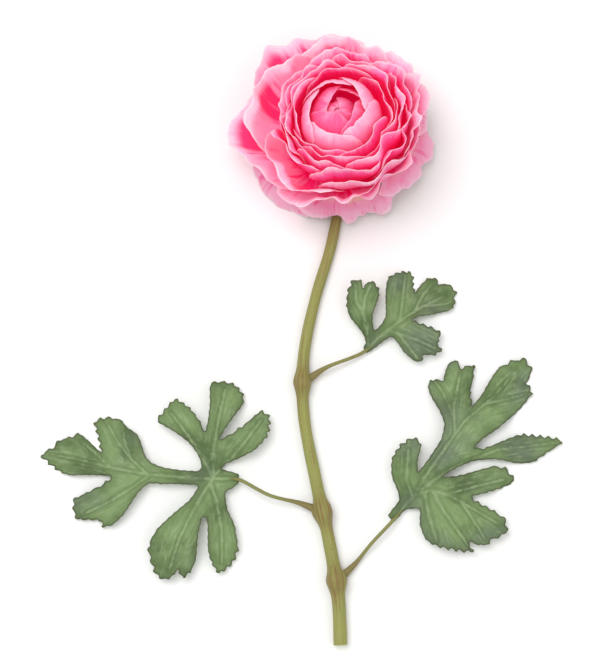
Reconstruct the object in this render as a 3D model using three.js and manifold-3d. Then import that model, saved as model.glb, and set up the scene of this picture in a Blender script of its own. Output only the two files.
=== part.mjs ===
// A picked ranunculus flower, lying on a flat surface with its bloom facing up.
// Millimetres, +Z up. The bloom is at the +Y end, the cut end of the stem at -Y.
// Every petal, sepal and leaf, the receptacle and the stem are separate closed solids.

import * as THREE from "three";
import Module from "manifold-3d";
import { mergeVertices } from "three/addons/utils/BufferGeometryUtils.js";

// ---------------------------------------------------------------- driving dimensions
const LEAN_X = -8;               // lean of the bloom's axis, degrees
const LEAN_Y = 8;
const RECEPTACLE_Z = 24;         // receptacle centre above the surface
const PETAL_THICKNESS = 0.42;
const SEPAL_THICKNESS = 0.8;
const LEAF_THICKNESS = 0.7;
const OPEN_AZIMUTH = 160;        // side on which the petals lie more open, degrees
const OPEN_AMOUNT = 0.22;        // in rings
// How much wider each ring reaches on that side, on the other side, and towards the stem.
const SPREAD_OPEN = [0, 0, 0, -0.09, -0.15, -0.19, -0.22, 0.03, 0.18, 0.14];
const SPREAD_TIGHT = [0, 0, 0, 0, -0.01, -0.02, -0.04, -0.09, -0.14, -0.08];
const SPREAD_LOW = [0, 0, 0, -0.02, -0.03, -0.04, -0.06, -0.11, -0.19, -0.28];
const UNEVEN = 0.016;            // how unevenly the rings stand apart on the closed side
const SKIRT = 9;                 // ring number of the petals that hang to the surface
const STEM_NECK_RADIUS = 2.6;
const STEM_RADIUS = 2.4;
const STEM_END_RADIUS = 3.0;
const STEM_SIDES = 10;
const FLOOR_GAP = 0.02;

// Petal profiles, one row per ring from the heart outwards: four Bezier points (r, w),
// r from the bloom's axis and w up along it from the receptacle's centre.
const PROFILES = [
  [[1.6, 8.2], [8.4, 9.2], [11.6, 26.8], [0.9, 29.2]],
  [[2.8, 6.7], [16.6, 8.2], [18.2, 29.0], [3.0, 30.8]],
  [[3.9, 5.3], [19.6, 4.4], [21.0, 27.0], [10.8, 31.4]],
  [[4.8, 4.1], [22.0, 2.2], [24.4, 20.0], [20.4, 30.2]],
  [[5.5, 3.0], [23.6, 1.0], [27.6, 17.0], [24.2, 31.2]],
  [[6.1, 1.9], [25.0, -0.2], [31.0, 13.5], [28.6, 30.2]],
  [[6.6, 0.8], [25.8, -1.5], [34.0, 9.5], [33.2, 27.2]],
  [[7.1, -0.4], [26.3, -2.8], [36.5, 4.5], [38.6, 21.0]],
  [[7.4, -1.7], [26.6, -4.2], [38.5, -0.5], [44.2, 12.0]],
  [[7.3, -3.1], [28.0, -4.6], [42.0, -5.0], [46.0, -14.0]],
];

// Rings of petals: count, ring number, turn of the first petal, overlap step in rings, half
// width in slots at the claw and at the blade, ruffle height, drop of the corners, cells
// across and along.
const RINGS = [
  { name: "petal_heart_inner", n: 3, L: 0, turn: 20, step: 0.30, w0: 0.40, w1: 0.64, A: 0.0, corner: 0.14, nu: 6, nv: 6 },
  { name: "petal_heart_middle", n: 4, L: 1, turn: 62, step: -0.34, w0: 0.42, w1: 0.72, A: 0.05, corner: 0.10, nu: 7, nv: 7 },
  { name: "petal_heart_outer", n: 5, L: 2, turn: 250, step: 0.24, w0: 0.42, w1: 0.74, A: 0.10, corner: 0.08, nu: 7, nv: 7 },
  { name: "petal_ring_1", n: 5, L: 3, turn: 20, step: -0.40, w0: 0.42, w1: 0.72, A: 0.6, corner: 0.22, nu: 7, nv: 6 },
  { name: "petal_ring_2", n: 5, L: 4, turn: 48, step: 0.42, w0: 0.42, w1: 0.68, A: 1.0, corner: 0.24, nu: 8, nv: 6 },
  { name: "petal_ring_3", n: 6, L: 5, turn: 11, step: 0.42, w0: 0.42, w1: 0.69, A: 1.3, corner: 0.26, nu: 8, nv: 6 },
  { name: "petal_ring_4", n: 6, L: 6, turn: 37, step: -0.46, w0: 0.42, w1: 0.70, A: 1.5, corner: 0.26, nu: 8, nv: 6 },
  { name: "petal_ring_5", n: 5, L: 7, turn: 150, step: 0.36, w0: 0.42, w1: 0.70, A: 1.6, corner: 0.26, nu: 9, nv: 6 },
  { name: "petal_ring_6", n: 5, L: 8, turn: 186, step: -0.42, w0: 0.42, w1: 0.70, A: 1.6, corner: 0.26, nu: 9, nv: 6 },
  { name: "petal_skirt", n: 5, L: 9, turn: 126, step: 0.32, w0: 0.42, w1: 0.66, A: 0.9, corner: 0.22, nu: 9, nv: 7 },
];

// ---------------------------------------------------------------- small maths
const rad = (d) => (d * Math.PI) / 180;
const clamp = (x, a, b) => Math.min(b, Math.max(a, x));
const smooth = (a, b, x) => {
  const u = clamp((x - a) / (b - a), 0, 1);
  return u * u * (3 - 2 * u);
};
// A repeatable number from 0 to 1 for a whole number.
const rnd = (k) => {
  const x = Math.sin(k * 127.1 + 311.7) * 43758.5453;
  return x - Math.floor(x);
};

// ---------------------------------------------------------------- the bloom's frame
const AXIS_W = new THREE.Vector3(Math.sin(rad(LEAN_X)), Math.sin(rad(LEAN_Y)), 1).normalize();
const AXIS_U = new THREE.Vector3(1, 0, 0).addScaledVector(AXIS_W, -AXIS_W.x).normalize();
const AXIS_V = new THREE.Vector3().crossVectors(AXIS_W, AXIS_U).normalize();
const BLOOM = new THREE.Vector3(0, 0, RECEPTACLE_Z);

const place = (r, theta, w) =>
  BLOOM.clone()
    .addScaledVector(AXIS_U, r * Math.cos(theta))
    .addScaledVector(AXIS_V, r * Math.sin(theta))
    .addScaledVector(AXIS_W, w);

// How far the outermost petals hang: down to the surface where they can reach it.
function skirtTip(theta) {
  const rise = 45 * (AXIS_U.z * Math.cos(theta) + AXIS_V.z * Math.sin(theta));
  return clamp((-RECEPTACLE_Z - rise - 1.5) / AXIS_W.z, -24, -8);
}

function control(k, L, theta) {
  const i = clamp(Math.floor(L), 0, PROFILES.length - 2);
  const f = L - i;
  const a = PROFILES[i][k];
  const b = PROFILES[i + 1][k];
  let aw = a[1];
  let bw = b[1];
  let br = b[0];
  if (i + 1 === SKIRT) {
    const drop = skirtTip(theta) - b[1];
    if (k === 3) { bw += drop; br += 0.22 * Math.min(0, drop); }
    if (k === 2) { bw += 0.3 * drop; }
  }
  return [a[0] + (br - a[0]) * f, aw + (bw - aw) * f];
}

// Point of the petal family: L is the ring number as a real number, t runs from claw to rim.
function profile(L, t, theta) {
  const lift = Math.sin(Math.PI * clamp((L - 1.7) / 7.3, 0, 1));
  const L2 = L + OPEN_AMOUNT * Math.cos(theta - rad(OPEN_AZIMUTH)) * lift;
  const p0 = control(0, L, theta);
  const p1 = control(1, L, theta);
  const p2 = control(2, L2, theta);
  const p3 = control(3, L2, theta);
  const u = 1 - t;
  const b0 = u * u * u;
  const b1 = 3 * u * u * t;
  const b2 = 3 * u * t * t;
  const b3 = t * t * t;
  const i = clamp(Math.floor(L), 0, PROFILES.length - 2);
  const at = (table) => table[i] + (table[i + 1] - table[i]) * clamp(L - i, 0, 1);
  const open = 0.5 + 0.5 * Math.cos(theta - rad(OPEN_AZIMUTH));
  const low = (0.5 - 0.5 * Math.sin(theta)) ** 2;
  const uneven = UNEVEN * (1 - open) * Math.sin(2 * theta + 2.1 * L) * smooth(2.5, 4, L) * (1 - smooth(7, 8.5, L));
  const wide = (at(SPREAD_OPEN) * open + at(SPREAD_TIGHT) * (1 - open) + at(SPREAD_LOW) * low + uneven) * smooth(0.1, 0.9, t);
  return [
    (b0 * p0[0] + b1 * p1[0] + b2 * p2[0] + b3 * p3[0]) * (1 + wide),
    b0 * p0[1] + b1 * p1[1] + b2 * p2[1] + b3 * p3[1],
  ];
}

// The mid surface of petal k of a ring, at s from -1 to 1 across and v from 0 to 1 along.
function petalPoint(ring, k, s, v) {
  const slot = (2 * Math.PI) / ring.n;
  const seed = ring.L * 17 + k * 5.3;
  const centre = rad(ring.turn) + k * slot + (rnd(seed) - 0.5) * 0.07 * slot;
  const reach = (ring.L < 3 ? 0.95 + 0.02 * ring.L * rnd(seed + 1) : 0.91 + 0.11 * rnd(seed + 1)) - ring.corner * Math.pow(Math.abs(s), 3);
  const t = v * reach;
  const half = ring.w0 + (ring.w1 - ring.w0) * smooth(0.2, 0.62, t);
  const d = half * s;
  const theta = centre + d * slot;
  const L = ring.L + ring.step * smooth(0.0, 0.3, t) * d;
  const e = 0.002;
  const a = profile(L, t, theta);
  const b = profile(L, t + e, theta);
  const len = Math.hypot(b[0] - a[0], b[1] - a[1]) || 1;
  const nr = (b[1] - a[1]) / len;
  const nw = -(b[0] - a[0]) / len;
  const wave = ring.A * Math.pow(smooth(0.35, 1.0, t), 1.3) *
    (0.45 * Math.sin(8 * theta + 0.75 * ring.L) + 0.20 * Math.sin(5 * theta - 0.8 * ring.L + 2));
  const p = place(a[0] + nr * wave, theta, a[1] + nw * wave);
  if (ring.L === SKIRT) {
    const low = PETAL_THICKNESS / 2 + FLOOR_GAP;
    const h = p.z - low;
    p.z = low + (h + Math.sqrt(h * h + 1.2)) / 2;
  }
  return p;
}

// ---------------------------------------------------------------- closed sheets
// A sheet of even thickness over a grid of points, closed all round.
function sheet(point, nu, nv, thickness) {
  const pos = [];
  const index = [];
  const e = 0.004;
  for (let side = 0; side < 2; side++) {
    for (let j = 0; j <= nv; j++) {
      for (let i = 0; i <= nu; i++) {
        const s = -1 + (2 * i) / nu;
        const v = j / nv;
        const p = point(s, v);
        const ds = point(Math.min(1, s + e), v).sub(point(Math.max(-1, s - e), v));
        const dv = point(s, Math.min(1, v + e)).sub(point(s, Math.max(0, v - e)));
        const n = ds.cross(dv).normalize();
        p.addScaledVector(n, (side ? -0.5 : 0.5) * thickness);
        pos.push(p.x, p.y, p.z);
      }
    }
  }
  const at = (side, i, j) => side * (nu + 1) * (nv + 1) + j * (nu + 1) + i;
  const quad = (a, b, c, d) => index.push(a, b, c, a, c, d);
  for (let j = 0; j < nv; j++) {
    for (let i = 0; i < nu; i++) {
      quad(at(0, i, j), at(0, i + 1, j), at(0, i + 1, j + 1), at(0, i, j + 1));
      quad(at(1, i, j), at(1, i, j + 1), at(1, i + 1, j + 1), at(1, i + 1, j));
    }
  }
  for (let i = 0; i < nu; i++) {
    quad(at(0, i + 1, 0), at(0, i, 0), at(1, i, 0), at(1, i + 1, 0));
    quad(at(0, i, nv), at(0, i + 1, nv), at(1, i + 1, nv), at(1, i, nv));
  }
  for (let j = 0; j < nv; j++) {
    quad(at(0, 0, j), at(0, 0, j + 1), at(1, 0, j + 1), at(1, 0, j));
    quad(at(0, nu, j + 1), at(0, nu, j), at(1, nu, j), at(1, nu, j + 1));
  }
  const g = new THREE.BufferGeometry();
  g.setAttribute("position", new THREE.Float32BufferAttribute(pos, 3));
  g.setIndex(index);
  return outward(g);
}

// Turns all faces round where the signed volume is negative.
function outward(g) {
  const p = g.getAttribute("position");
  const ix = g.getIndex().array;
  let vol = 0;
  const a = new THREE.Vector3();
  const b = new THREE.Vector3();
  const c = new THREE.Vector3();
  for (let i = 0; i < ix.length; i += 3) {
    a.fromBufferAttribute(p, ix[i]);
    b.fromBufferAttribute(p, ix[i + 1]);
    c.fromBufferAttribute(p, ix[i + 2]);
    vol += a.dot(b.cross(c)) / 6;
  }
  if (vol < 0) {
    const out = Array.from(ix);
    for (let i = 0; i < out.length; i += 3) [out[i + 1], out[i + 2]] = [out[i + 2], out[i + 1]];
    g.setIndex(out);
  }
  g.computeVertexNormals();
  return g;
}

// ---------------------------------------------------------------- tubes
// A smooth path through the given points (uniform Catmull-Rom), n samples.
function path(points, n) {
  const out = [];
  const m = points.length - 1;
  for (let i = 0; i <= n; i++) {
    const x = (i / n) * m;
    const k = Math.min(m - 1, Math.floor(x));
    const u = x - k;
    const p0 = points[Math.max(0, k - 1)];
    const p1 = points[k];
    const p2 = points[k + 1];
    const p3 = points[Math.min(m, k + 2)];
    out.push(p1.map((_, c) => 0.5 * (2 * p1[c] + (p2[c] - p0[c]) * u +
      (2 * p0[c] - 5 * p1[c] + 4 * p2[c] - p3[c]) * u * u +
      (3 * p1[c] - p0[c] - 3 * p2[c] + p3[c]) * u * u * u)));
  }
  return out;
}

// A closed tube along sample points, with its own radius at each and flat ends.
function tube(samples, radii, sides) {
  const pts = samples.map((p) => new THREE.Vector3(...p));
  const n = pts.length;
  const tangent = (i) => pts[Math.min(n - 1, i + 1)].clone().sub(pts[Math.max(0, i - 1)]).normalize();
  let side = new THREE.Vector3(0, 0, 1).cross(tangent(0));
  if (side.length() < 0.2) side = new THREE.Vector3(1, 0, 0);
  const pos = [];
  const index = [];
  for (let i = 0; i < n; i++) {
    const t = tangent(i);
    side.addScaledVector(t, -side.dot(t)).normalize();
    const up = t.clone().cross(side);
    for (let k = 0; k < sides; k++) {
      const a = (2 * Math.PI * k) / sides;
      const p = pts[i].clone()
        .addScaledVector(side, radii[i] * Math.cos(a))
        .addScaledVector(up, radii[i] * Math.sin(a));
      pos.push(p.x, p.y, p.z);
    }
  }
  for (let i = 0; i < n - 1; i++) {
    for (let k = 0; k < sides; k++) {
      const a = i * sides + k;
      const b = i * sides + ((k + 1) % sides);
      index.push(a, b, b + sides, a, b + sides, a + sides);
    }
  }
  for (let k = 1; k < sides - 1; k++) {
    index.push(0, k + 1, k);
    const o = (n - 1) * sides;
    index.push(o, o + k, o + k + 1);
  }
  const g = new THREE.BufferGeometry();
  g.setAttribute("position", new THREE.Float32BufferAttribute(pos, 3));
  g.setIndex(index);
  return outward(g);
}

// ---------------------------------------------------------------- joining solids
const wasm = await Module();
wasm.setup();

function solid(geometry) {
  const g = geometry.clone();
  for (const name of Object.keys(g.attributes)) if (name !== "position") g.deleteAttribute(name);
  const m = mergeVertices(g, 1e-4);
  return new wasm.Manifold(new wasm.Mesh({
    numProp: 3,
    vertProperties: Float32Array.from(m.getAttribute("position").array),
    triVerts: Uint32Array.from(m.getIndex().array),
  }));
}

function surface(manifold) {
  const m = manifold.getMesh();
  const g = new THREE.BufferGeometry();
  g.setAttribute("position", new THREE.Float32BufferAttribute(Array.from(m.vertProperties), 3));
  g.setIndex(Array.from(m.triVerts));
  return g;
}

// ---------------------------------------------------------------- materials
const mat = (colour, roughness) =>
  new THREE.MeshStandardMaterial({ color: colour, roughness, metalness: 0 });
const HEART = mat(0xfa8ab4, 0.7);
const INNER = mat(0xf2467f, 0.7);
const OUTER = mat(0xf590b0, 0.7);
const OUTERMOST = mat(0xf3b3bd, 0.7);
const GREEN_STEM = mat(0x8a8a4a, 0.55);
const GREEN_SEPAL = mat(0x9aa25a, 0.6);
const GREEN_LEAF = mat(0x6f8f5f, 0.65);

const flower = new THREE.Group();
const bloom = new THREE.Group();
const foliage = new THREE.Group();
flower.add(bloom, foliage);

function add(group, name, geometry, material) {
  const mesh = new THREE.Mesh(geometry, material);
  mesh.name = name;
  group.add(mesh);
  return mesh;
}

// ---------------------------------------------------------------- receptacle
const RECEPTACLE = [
  [0, 7.6], [0.9, 7.3], [3.1, 4.1], [4.9, 1.5],
  [6.1, -1.0], [6.4, -2.4], [6.0, -4.0], [4.6, -6.0], [3.0, -6.6], [0, -6.6],
];
{
  const g = new THREE.LatheGeometry(RECEPTACLE.map(([r, w]) => new THREE.Vector2(r, w)), 14);
  // The lathe turns about +Y, so its axis is laid along the bloom's.
  const m = new THREE.Matrix4().makeBasis(AXIS_V, AXIS_W, AXIS_U).setPosition(BLOOM);
  g.applyMatrix4(m);
  g.deleteAttribute("uv");
  g.deleteAttribute("normal");
  add(bloom, "receptacle", outward(mergeVertices(g, 1e-4)), GREEN_SEPAL);
}

// ---------------------------------------------------------------- petals
for (const ring of RINGS) {
  const material = ring.L < 2.5 ? HEART : ring.L < 6.5 ? INNER : ring.L < SKIRT ? OUTER : OUTERMOST;
  for (let k = 0; k < ring.n; k++) {
    const g = sheet((s, v) => petalPoint(ring, k, s, v), ring.nu, ring.nv, PETAL_THICKNESS);
    add(bloom, `${ring.name}_${String.fromCharCode(97 + k)}`, g, material);
  }
}

// ---------------------------------------------------------------- sepals
// Five pointed sepals under the petals, spread and turned a little down.
const SEPAL_COUNT = 5;
const SEPAL = [[5.6, -5.9], [9.0, -8.2], [13.0, -9.6], [17.5, -12.6]];
function sepalPoint(k, s, v) {
  const centre = rad(18 + 72 * k + 8 * (rnd(k + 40) - 0.5));
  const u = 1 - v;
  const len = 0.93 + 0.14 * rnd(k + 50);
  const r = u * u * u * SEPAL[0][0] + 3 * u * u * v * SEPAL[1][0] + 3 * u * v * v * SEPAL[2][0] + v * v * v * SEPAL[3][0];
  const w = u * u * u * SEPAL[0][1] + 3 * u * u * v * SEPAL[1][1] + 3 * u * v * v * SEPAL[2][1] + v * v * v * SEPAL[3][1];
  const width = 0.35 + 2.9 * Math.pow(Math.sin(Math.PI * clamp(0.16 + 0.8 * v, 0, 1)), 0.9);
  const rr = SEPAL[0][0] + (r - SEPAL[0][0]) * len;
  const across = s * width;
  const x = rr;
  const y = across;
  const theta = centre + Math.atan2(y, x);
  return place(Math.hypot(x, y), theta, w + 0.06 * across * across);
}
for (let k = 0; k < SEPAL_COUNT; k++) {
  add(bloom, `sepal_${String.fromCharCode(97 + k)}`,
    sheet((s, v) => sepalPoint(k, s, v), 4, 6, SEPAL_THICKNESS), GREEN_SEPAL);
}

// ---------------------------------------------------------------- stem
// Route on the surface, seen from above, after the bend below the bloom.
const STEM_PLAN = [
  [-7, -46], [-14, -70], [-19, -96], [-19, -122], [-14, -150], [-8, -178], [-4, -202], [-3, -224],
];
// Swellings where leaves join: distance from the cut end along -Y, and size.
const NODES = [{ y: -108, h: 1.5 }, { y: -166, h: 1.7 }, { y: -196, h: 1.9 }];
const stemRadius = (y, z) => {
  const along = clamp((-y - 20) / 200, 0, 1);
  let r = STEM_RADIUS + (STEM_END_RADIUS - STEM_RADIUS) * along;
  for (const n of NODES) r += n.h * Math.exp(-Math.pow((y - n.y) / 4.2, 2));
  r += (STEM_NECK_RADIUS - STEM_RADIUS) * smooth(6, 16, z);
  return r;
};
const stemSamples = (() => {
  const top = BLOOM.clone().addScaledVector(AXIS_W, -6.95);
  const foot = [-2.5, -24];
  const r = STEM_RADIUS + FLOOR_GAP;
  const b = [
    [top.x, top.y, top.z],
    [top.x - AXIS_W.x * 11, top.y - AXIS_W.y * 11, top.z - AXIS_W.z * 11],
    [foot[0] + 2.2, foot[1] + 11, r],
    [foot[0], foot[1], r],
  ];
  const bend = [];
  for (let i = 0; i < 10; i++) {
    const t = i / 10;
    const u = 1 - t;
    bend.push([0, 1, 2].map((c) => u * u * u * b[0][c] + 3 * u * u * t * b[1][c] + 3 * u * t * t * b[2][c] + t * t * t * b[3][c]));
  }
  const plan = path([foot, ...STEM_PLAN], 42).map(([x, y]) => [x, y, 0]);
  return [...bend, ...plan];
})();
const stemRadii = stemSamples.map(([, y, z]) => stemRadius(y, z));
stemSamples.forEach((p, i) => {
  if (i >= 10) p[2] = stemRadii[i] + FLOOR_GAP;
});
// Just before the surface the bend eases on to the same height.
for (let i = 6; i < 10; i++) p2(i);
function p2(i) {
  const f = (i - 5) / 5;
  stemSamples[i][2] = Math.max(stemSamples[i][2], stemRadii[i] + FLOOR_GAP + (1 - f) * 0.1);
}
add(foliage, "stem", tube(stemSamples, stemRadii, STEM_SIDES), GREEN_STEM);

// ---------------------------------------------------------------- leaves
// Outlines seen from above, about the point where the three arms meet (x, y).
const OUTLINE_A = [
  [12.1, -2.1], [9.6, -4.4], [6.4, -6.6], [7.4, -14.0], [10.4, -20.5], [12.0, -30.5], [9.6, -37.0],
  [4.0, -41.7], [0.6, -37.0], [-1.0, -31.5], [-1.2, -21.0], [-2.2, -17.4], [-3.8, -18.2], [-5.2, -25.0], [-6.2, -35.5],
  [-8.5, -41.0], [-11.8, -44.0], [-14.0, -40.8], [-16.4, -43.4], [-20.0, -44.6], [-23.6, -42.4], [-26.2, -35.6],
  [-26.8, -30.0], [-23.4, -23.0], [-16.6, -16.4], [-9.4, -9.8], [-5.8, -3.4],
  [-12.0, -2.9], [-20.8, -2.8], [-26.8, -2.3], [-29.2, -3.7], [-32.6, -7.6], [-38.2, -16.2], [-43.0, -20.6], [-47.4, -21.2],
  [-49.0, -18.4], [-59.2, -17.6], [-60.9, -9.4], [-54.0, -6.0], [-48.6, -3.4], [-44.2, 0.9],
  [-50.4, 1.6], [-62.6, 1.6], [-68.6, 4.4], [-75.6, 10.6], [-71.0, 14.0], [-67.4, 17.6], [-63.6, 18.4], [-59.0, 20.2],
  [-54.2, 16.6], [-49.4, 12.4], [-50.6, 19.4], [-52.0, 25.6], [-46.4, 27.6], [-40.6, 26.6], [-37.8, 23.2],
  [-32.6, 19.0], [-29.2, 10.0], [-26.2, 6.6], [-20.8, 4.4], [-13.0, 3.5], [-5.6, 3.4],
  [-4.4, 6.2], [-6.0, 10.6], [-10.6, 16.4], [-20.6, 23.0], [-24.2, 25.6], [-20.6, 30.6], [-15.8, 34.6], [-9.0, 30.0],
  [-4.6, 24.0], [-3.4, 20.6], [-1.9, 23.4], [-0.8, 33.0], [-0.6, 41.6], [4.2, 43.4], [9.8, 42.4], [13.6, 38.0],
  [13.9, 33.4], [9.8, 27.0], [5.6, 21.0], [3.6, 17.2], [8.6, 19.4], [14.0, 23.4], [21.4, 29.8], [25.6, 27.2],
  [25.0, 19.0], [19.4, 12.2], [13.0, 9.0], [6.6, 6.6], [4.6, 4.4], [8.0, 3.2], [12.1, 1.8],
];
const OUTLINE_B = [
  [-6.9, -10.0], [-2.6, -4.8], [3.2, -4.2], [3.6, -10.6], [6.2, -16.4], [10.4, -18.8], [14.0, -19.8], [20.2, -20.4],
  [25.8, -20.2], [24.2, -16.6], [30.4, -17.6], [34.6, -14.4], [39.4, -11.8], [38.8, -6.2], [32.4, -2.0], [27.4, 0.2],
  [24.4, 2.6], [30.6, 4.6], [37.4, 7.6], [42.0, 10.8], [38.6, 15.2], [33.0, 15.8], [26.0, 13.6], [17.6, 10.6], [12.0, 9.8],
  [18.0, 14.2], [25.0, 17.8], [33.2, 19.0], [42.6, 18.2], [49.6, 19.2], [54.0, 22.6], [61.4, 28.6], [54.0, 30.2], [44.2, 30.4],
  [36.4, 27.0], [29.6, 23.6], [24.4, 22.6],
  [28.0, 27.0], [34.8, 32.6], [42.6, 40.8], [47.6, 48.2], [45.6, 52.8], [47.2, 58.2], [43.8, 62.6], [37.6, 60.8], [32.6, 57.4],
  [29.2, 51.4], [26.2, 45.4], [22.8, 41.2], [21.6, 46.8], [22.6, 53.0], [22.4, 58.6], [17.6, 56.8], [14.2, 60.6], [11.0, 56.2],
  [9.8, 51.2], [4.8, 51.2], [4.0, 47.4], [5.8, 43.0], [9.2, 37.6], [11.4, 32.2], [10.4, 25.6], [7.2, 19.6], [4.0, 14.4], [1.6, 11.4],
  [1.2, 16.0], [2.2, 22.4], [-1.4, 25.2], [-6.4, 21.8], [-9.6, 15.6], [-9.2, 8.6], [-6.4, 3.0], [-5.6, -1.2], [-9.6, -7.6],
];
const OUTLINE_C = [
  [1.5, -2.0], [2.0, 3.6], [2.1, 9.0], [2.8, 13.2], [7.0, 13.6], [13.6, 12.8], [20.4, 14.4], [22.6, 17.0], [21.2, 20.0], [24.0, 24.0],
  [24.8, 28.6], [20.2, 29.6], [18.6, 33.0], [15.8, 34.2], [10.6, 31.6], [5.6, 28.4], [2.6, 27.4],
  [3.6, 31.4], [6.4, 36.6], [8.2, 41.4], [10.4, 46.0], [9.4, 50.6], [7.0, 51.8], [4.2, 55.4], [0.4, 55.2], [-2.6, 54.0], [-3.6, 50.8],
  [-6.4, 51.4], [-9.0, 50.0], [-10.2, 47.4], [-9.8, 42.6], [-8.8, 38.2], [-12.6, 40.2], [-16.2, 42.8], [-19.0, 42.8], [-21.4, 39.0],
  [-22.6, 33.2], [-21.6, 29.4], [-17.4, 25.2], [-12.4, 21.2], [-7.4, 17.2], [-5.6, 13.0], [-5.2, 8.4],
  [-8.2, 9.4], [-12.2, 12.6], [-15.4, 17.6], [-18.6, 22.0], [-23.4, 23.6], [-27.0, 21.6], [-26.0, 17.4], [-30.2, 18.4], [-32.4, 14.8],
  [-29.4, 9.4], [-24.0, 4.6], [-18.6, 2.4], [-12.6, 2.4], [-7.4, 2.4], [-3.4, 1.0], [-1.6, -2.0],
];

// Each leaf: where its arms meet (on the surface), its turn and scale, the first points of
// its stalk from there, and the swelling of the stem and the side that the stalk joins.
const LEAVES = [
  { name: "leaf_left", outline: OUTLINE_A, hub: [-60, -151], turn: 0, scale: 1.0,
    stalk: [[8.0, 0.0], [13.5, -1.2], [26.0, -8.0]], node: 1, side: -1, hump: 6.5, reach: 62, seed: 1.0 },
  { name: "leaf_right", outline: OUTLINE_B, hub: [29, -160], turn: -4, scale: 1.06,
    stalk: [[-4.0, -5.0], [-9.0, -11.5], [-16.0, -20.0]], node: 2, side: 1, hump: 6.0, reach: 60, seed: 2.0 },
  { name: "leaf_upper", outline: OUTLINE_C, hub: [10, -92], turn: -52, scale: 0.86,
    stalk: [[0.0, 2.0], [0.0, -4.0], [-1.5, -11.0]], node: 0, side: 1, hump: 5.5, reach: 50, seed: 3.0 },
];
const STALK_RADIUS = 0.85;
const SHEATH_RADIUS = 1.9;

// The stem's centre and direction where a swelling is, seen from above.
function stemAt(y) {
  let i = 10;
  while (i < stemSamples.length - 2 && stemSamples[i + 1][1] > y) i++;
  const [x0, y0] = stemSamples[i];
  const [x1, y1] = stemSamples[i + 1];
  const f = (y - y0) / (y1 - y0);
  const len = Math.hypot(x1 - x0, y1 - y0);
  return { c: [x0 + (x1 - x0) * f, y], t: [(x0 - x1) / len, (y0 - y1) / len] };
}

// The stalk's route from the blade into the stem, in the leaf's own frame.
function stalkRoute(leaf) {
  const { c, t } = stemAt(NODES[leaf.node].y);
  const n = [t[1] * leaf.side, -t[0] * leaf.side];
  const far = [c[0] + n[0] * 9 + t[0] * 6, c[1] + n[1] * 9 + t[1] * 6];
  const end = [c[0] + n[0] * 0.5, c[1] + n[1] * 0.5];
  const a = -rad(leaf.turn);
  const local = ([x, y]) => {
    const dx = (x - leaf.hub[0]) / leaf.scale;
    const dy = (y - leaf.hub[1]) / leaf.scale;
    return [dx * Math.cos(a) - dy * Math.sin(a), dx * Math.sin(a) + dy * Math.cos(a)];
  };
  return [...leaf.stalk, local(far), local(end)];
}

// Height of a leaf's lower face above the surface: it arches from the stalk and
// comes down to the surface at the tips of its lobes. The stalk ends at the stem's middle.
function leafHeight(leaf, end, x, y) {
  const d = Math.hypot(x, y);
  const a = Math.atan2(y, x);
  const q = clamp(d / leaf.reach, 0, 1.2);
  const wave = 1.5 * Math.sin(3 * a + leaf.seed * 2.1) + 1.1 * Math.sin(5 * a + leaf.seed * 4.7);
  const arch = leaf.hump * (1 - q * q) * (0.35 + 0.65 * smooth(0.0, 0.45, q)) + wave * smooth(0.15, 0.7, q);
  const h = arch - 0.3;
  const low = FLOOR_GAP + (h + Math.sqrt(h * h + 0.5)) / 2 - 0.05;
  const reach = Math.hypot(end[0], end[1]);
  const along = (x * end[0] + y * end[1]) / (d || 1) / reach > 0.9 ? d / reach : 0;
  return low * (1 - smooth(0.55, 0.95, along)) + 1.3 * smooth(0.6, 1.0, along);
}

const aroundStem = solid(tube(stemSamples, stemRadii.map((r) => r + 0.35), STEM_SIDES));
for (const leaf of LEAVES) {
  const shape = new THREE.Shape(leaf.outline.map(([x, y]) => new THREE.Vector2(x, y)));
  const blade = new THREE.ExtrudeGeometry(shape, { depth: LEAF_THICKNESS, bevelEnabled: false, steps: 1 });
  const route = stalkRoute(leaf);
  const end = route[route.length - 1];
  const stalkPlan = path(route, 16);
  const stalkRadii = stalkPlan.map((_, i) => STALK_RADIUS + (SHEATH_RADIUS - STALK_RADIUS) * smooth(0.6, 1.0, i / 16));
  const stalk = tube(stalkPlan.map(([x, y], i) => [x, y, stalkRadii[i] + 0.05]), stalkRadii, 8);
  const g = surface(solid(blade).add(solid(stalk)));
  const p = g.getAttribute("position");
  const turn = rad(leaf.turn);
  for (let i = 0; i < p.count; i++) {
    const x = p.getX(i) * leaf.scale;
    const y = p.getY(i) * leaf.scale;
    const e = [end[0] * leaf.scale, end[1] * leaf.scale];
    p.setXYZ(i,
      leaf.hub[0] + x * Math.cos(turn) - y * Math.sin(turn),
      leaf.hub[1] + x * Math.sin(turn) + y * Math.cos(turn),
      p.getZ(i) + leafHeight(leaf, e, x, y));
  }
  const cut = surface(solid(g).subtract(aroundStem));
  cut.computeVertexNormals();
  add(foliage, leaf.name, cut, GREEN_LEAF);
}

// ---------------------------------------------------------------- origin
// The origin is the middle of the outline, on the surface that the flower lies on.
flower.updateMatrixWorld(true);
const box = new THREE.Box3().setFromObject(flower);
flower.position.set(-(box.min.x + box.max.x) / 2, -(box.min.y + box.max.y) / 2, -box.min.z);
flower.updateMatrixWorld(true);

export default flower;
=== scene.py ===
# A picked ranunculus flower lying on a pale surface, seen from above.
# Metres in the scene; the shape functions below work in millimetres, in the flower's own frame.
import math
import bpy
import numpy as np
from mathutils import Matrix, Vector
from mathutils.geometry import delaunay_2d_cdt


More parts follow.
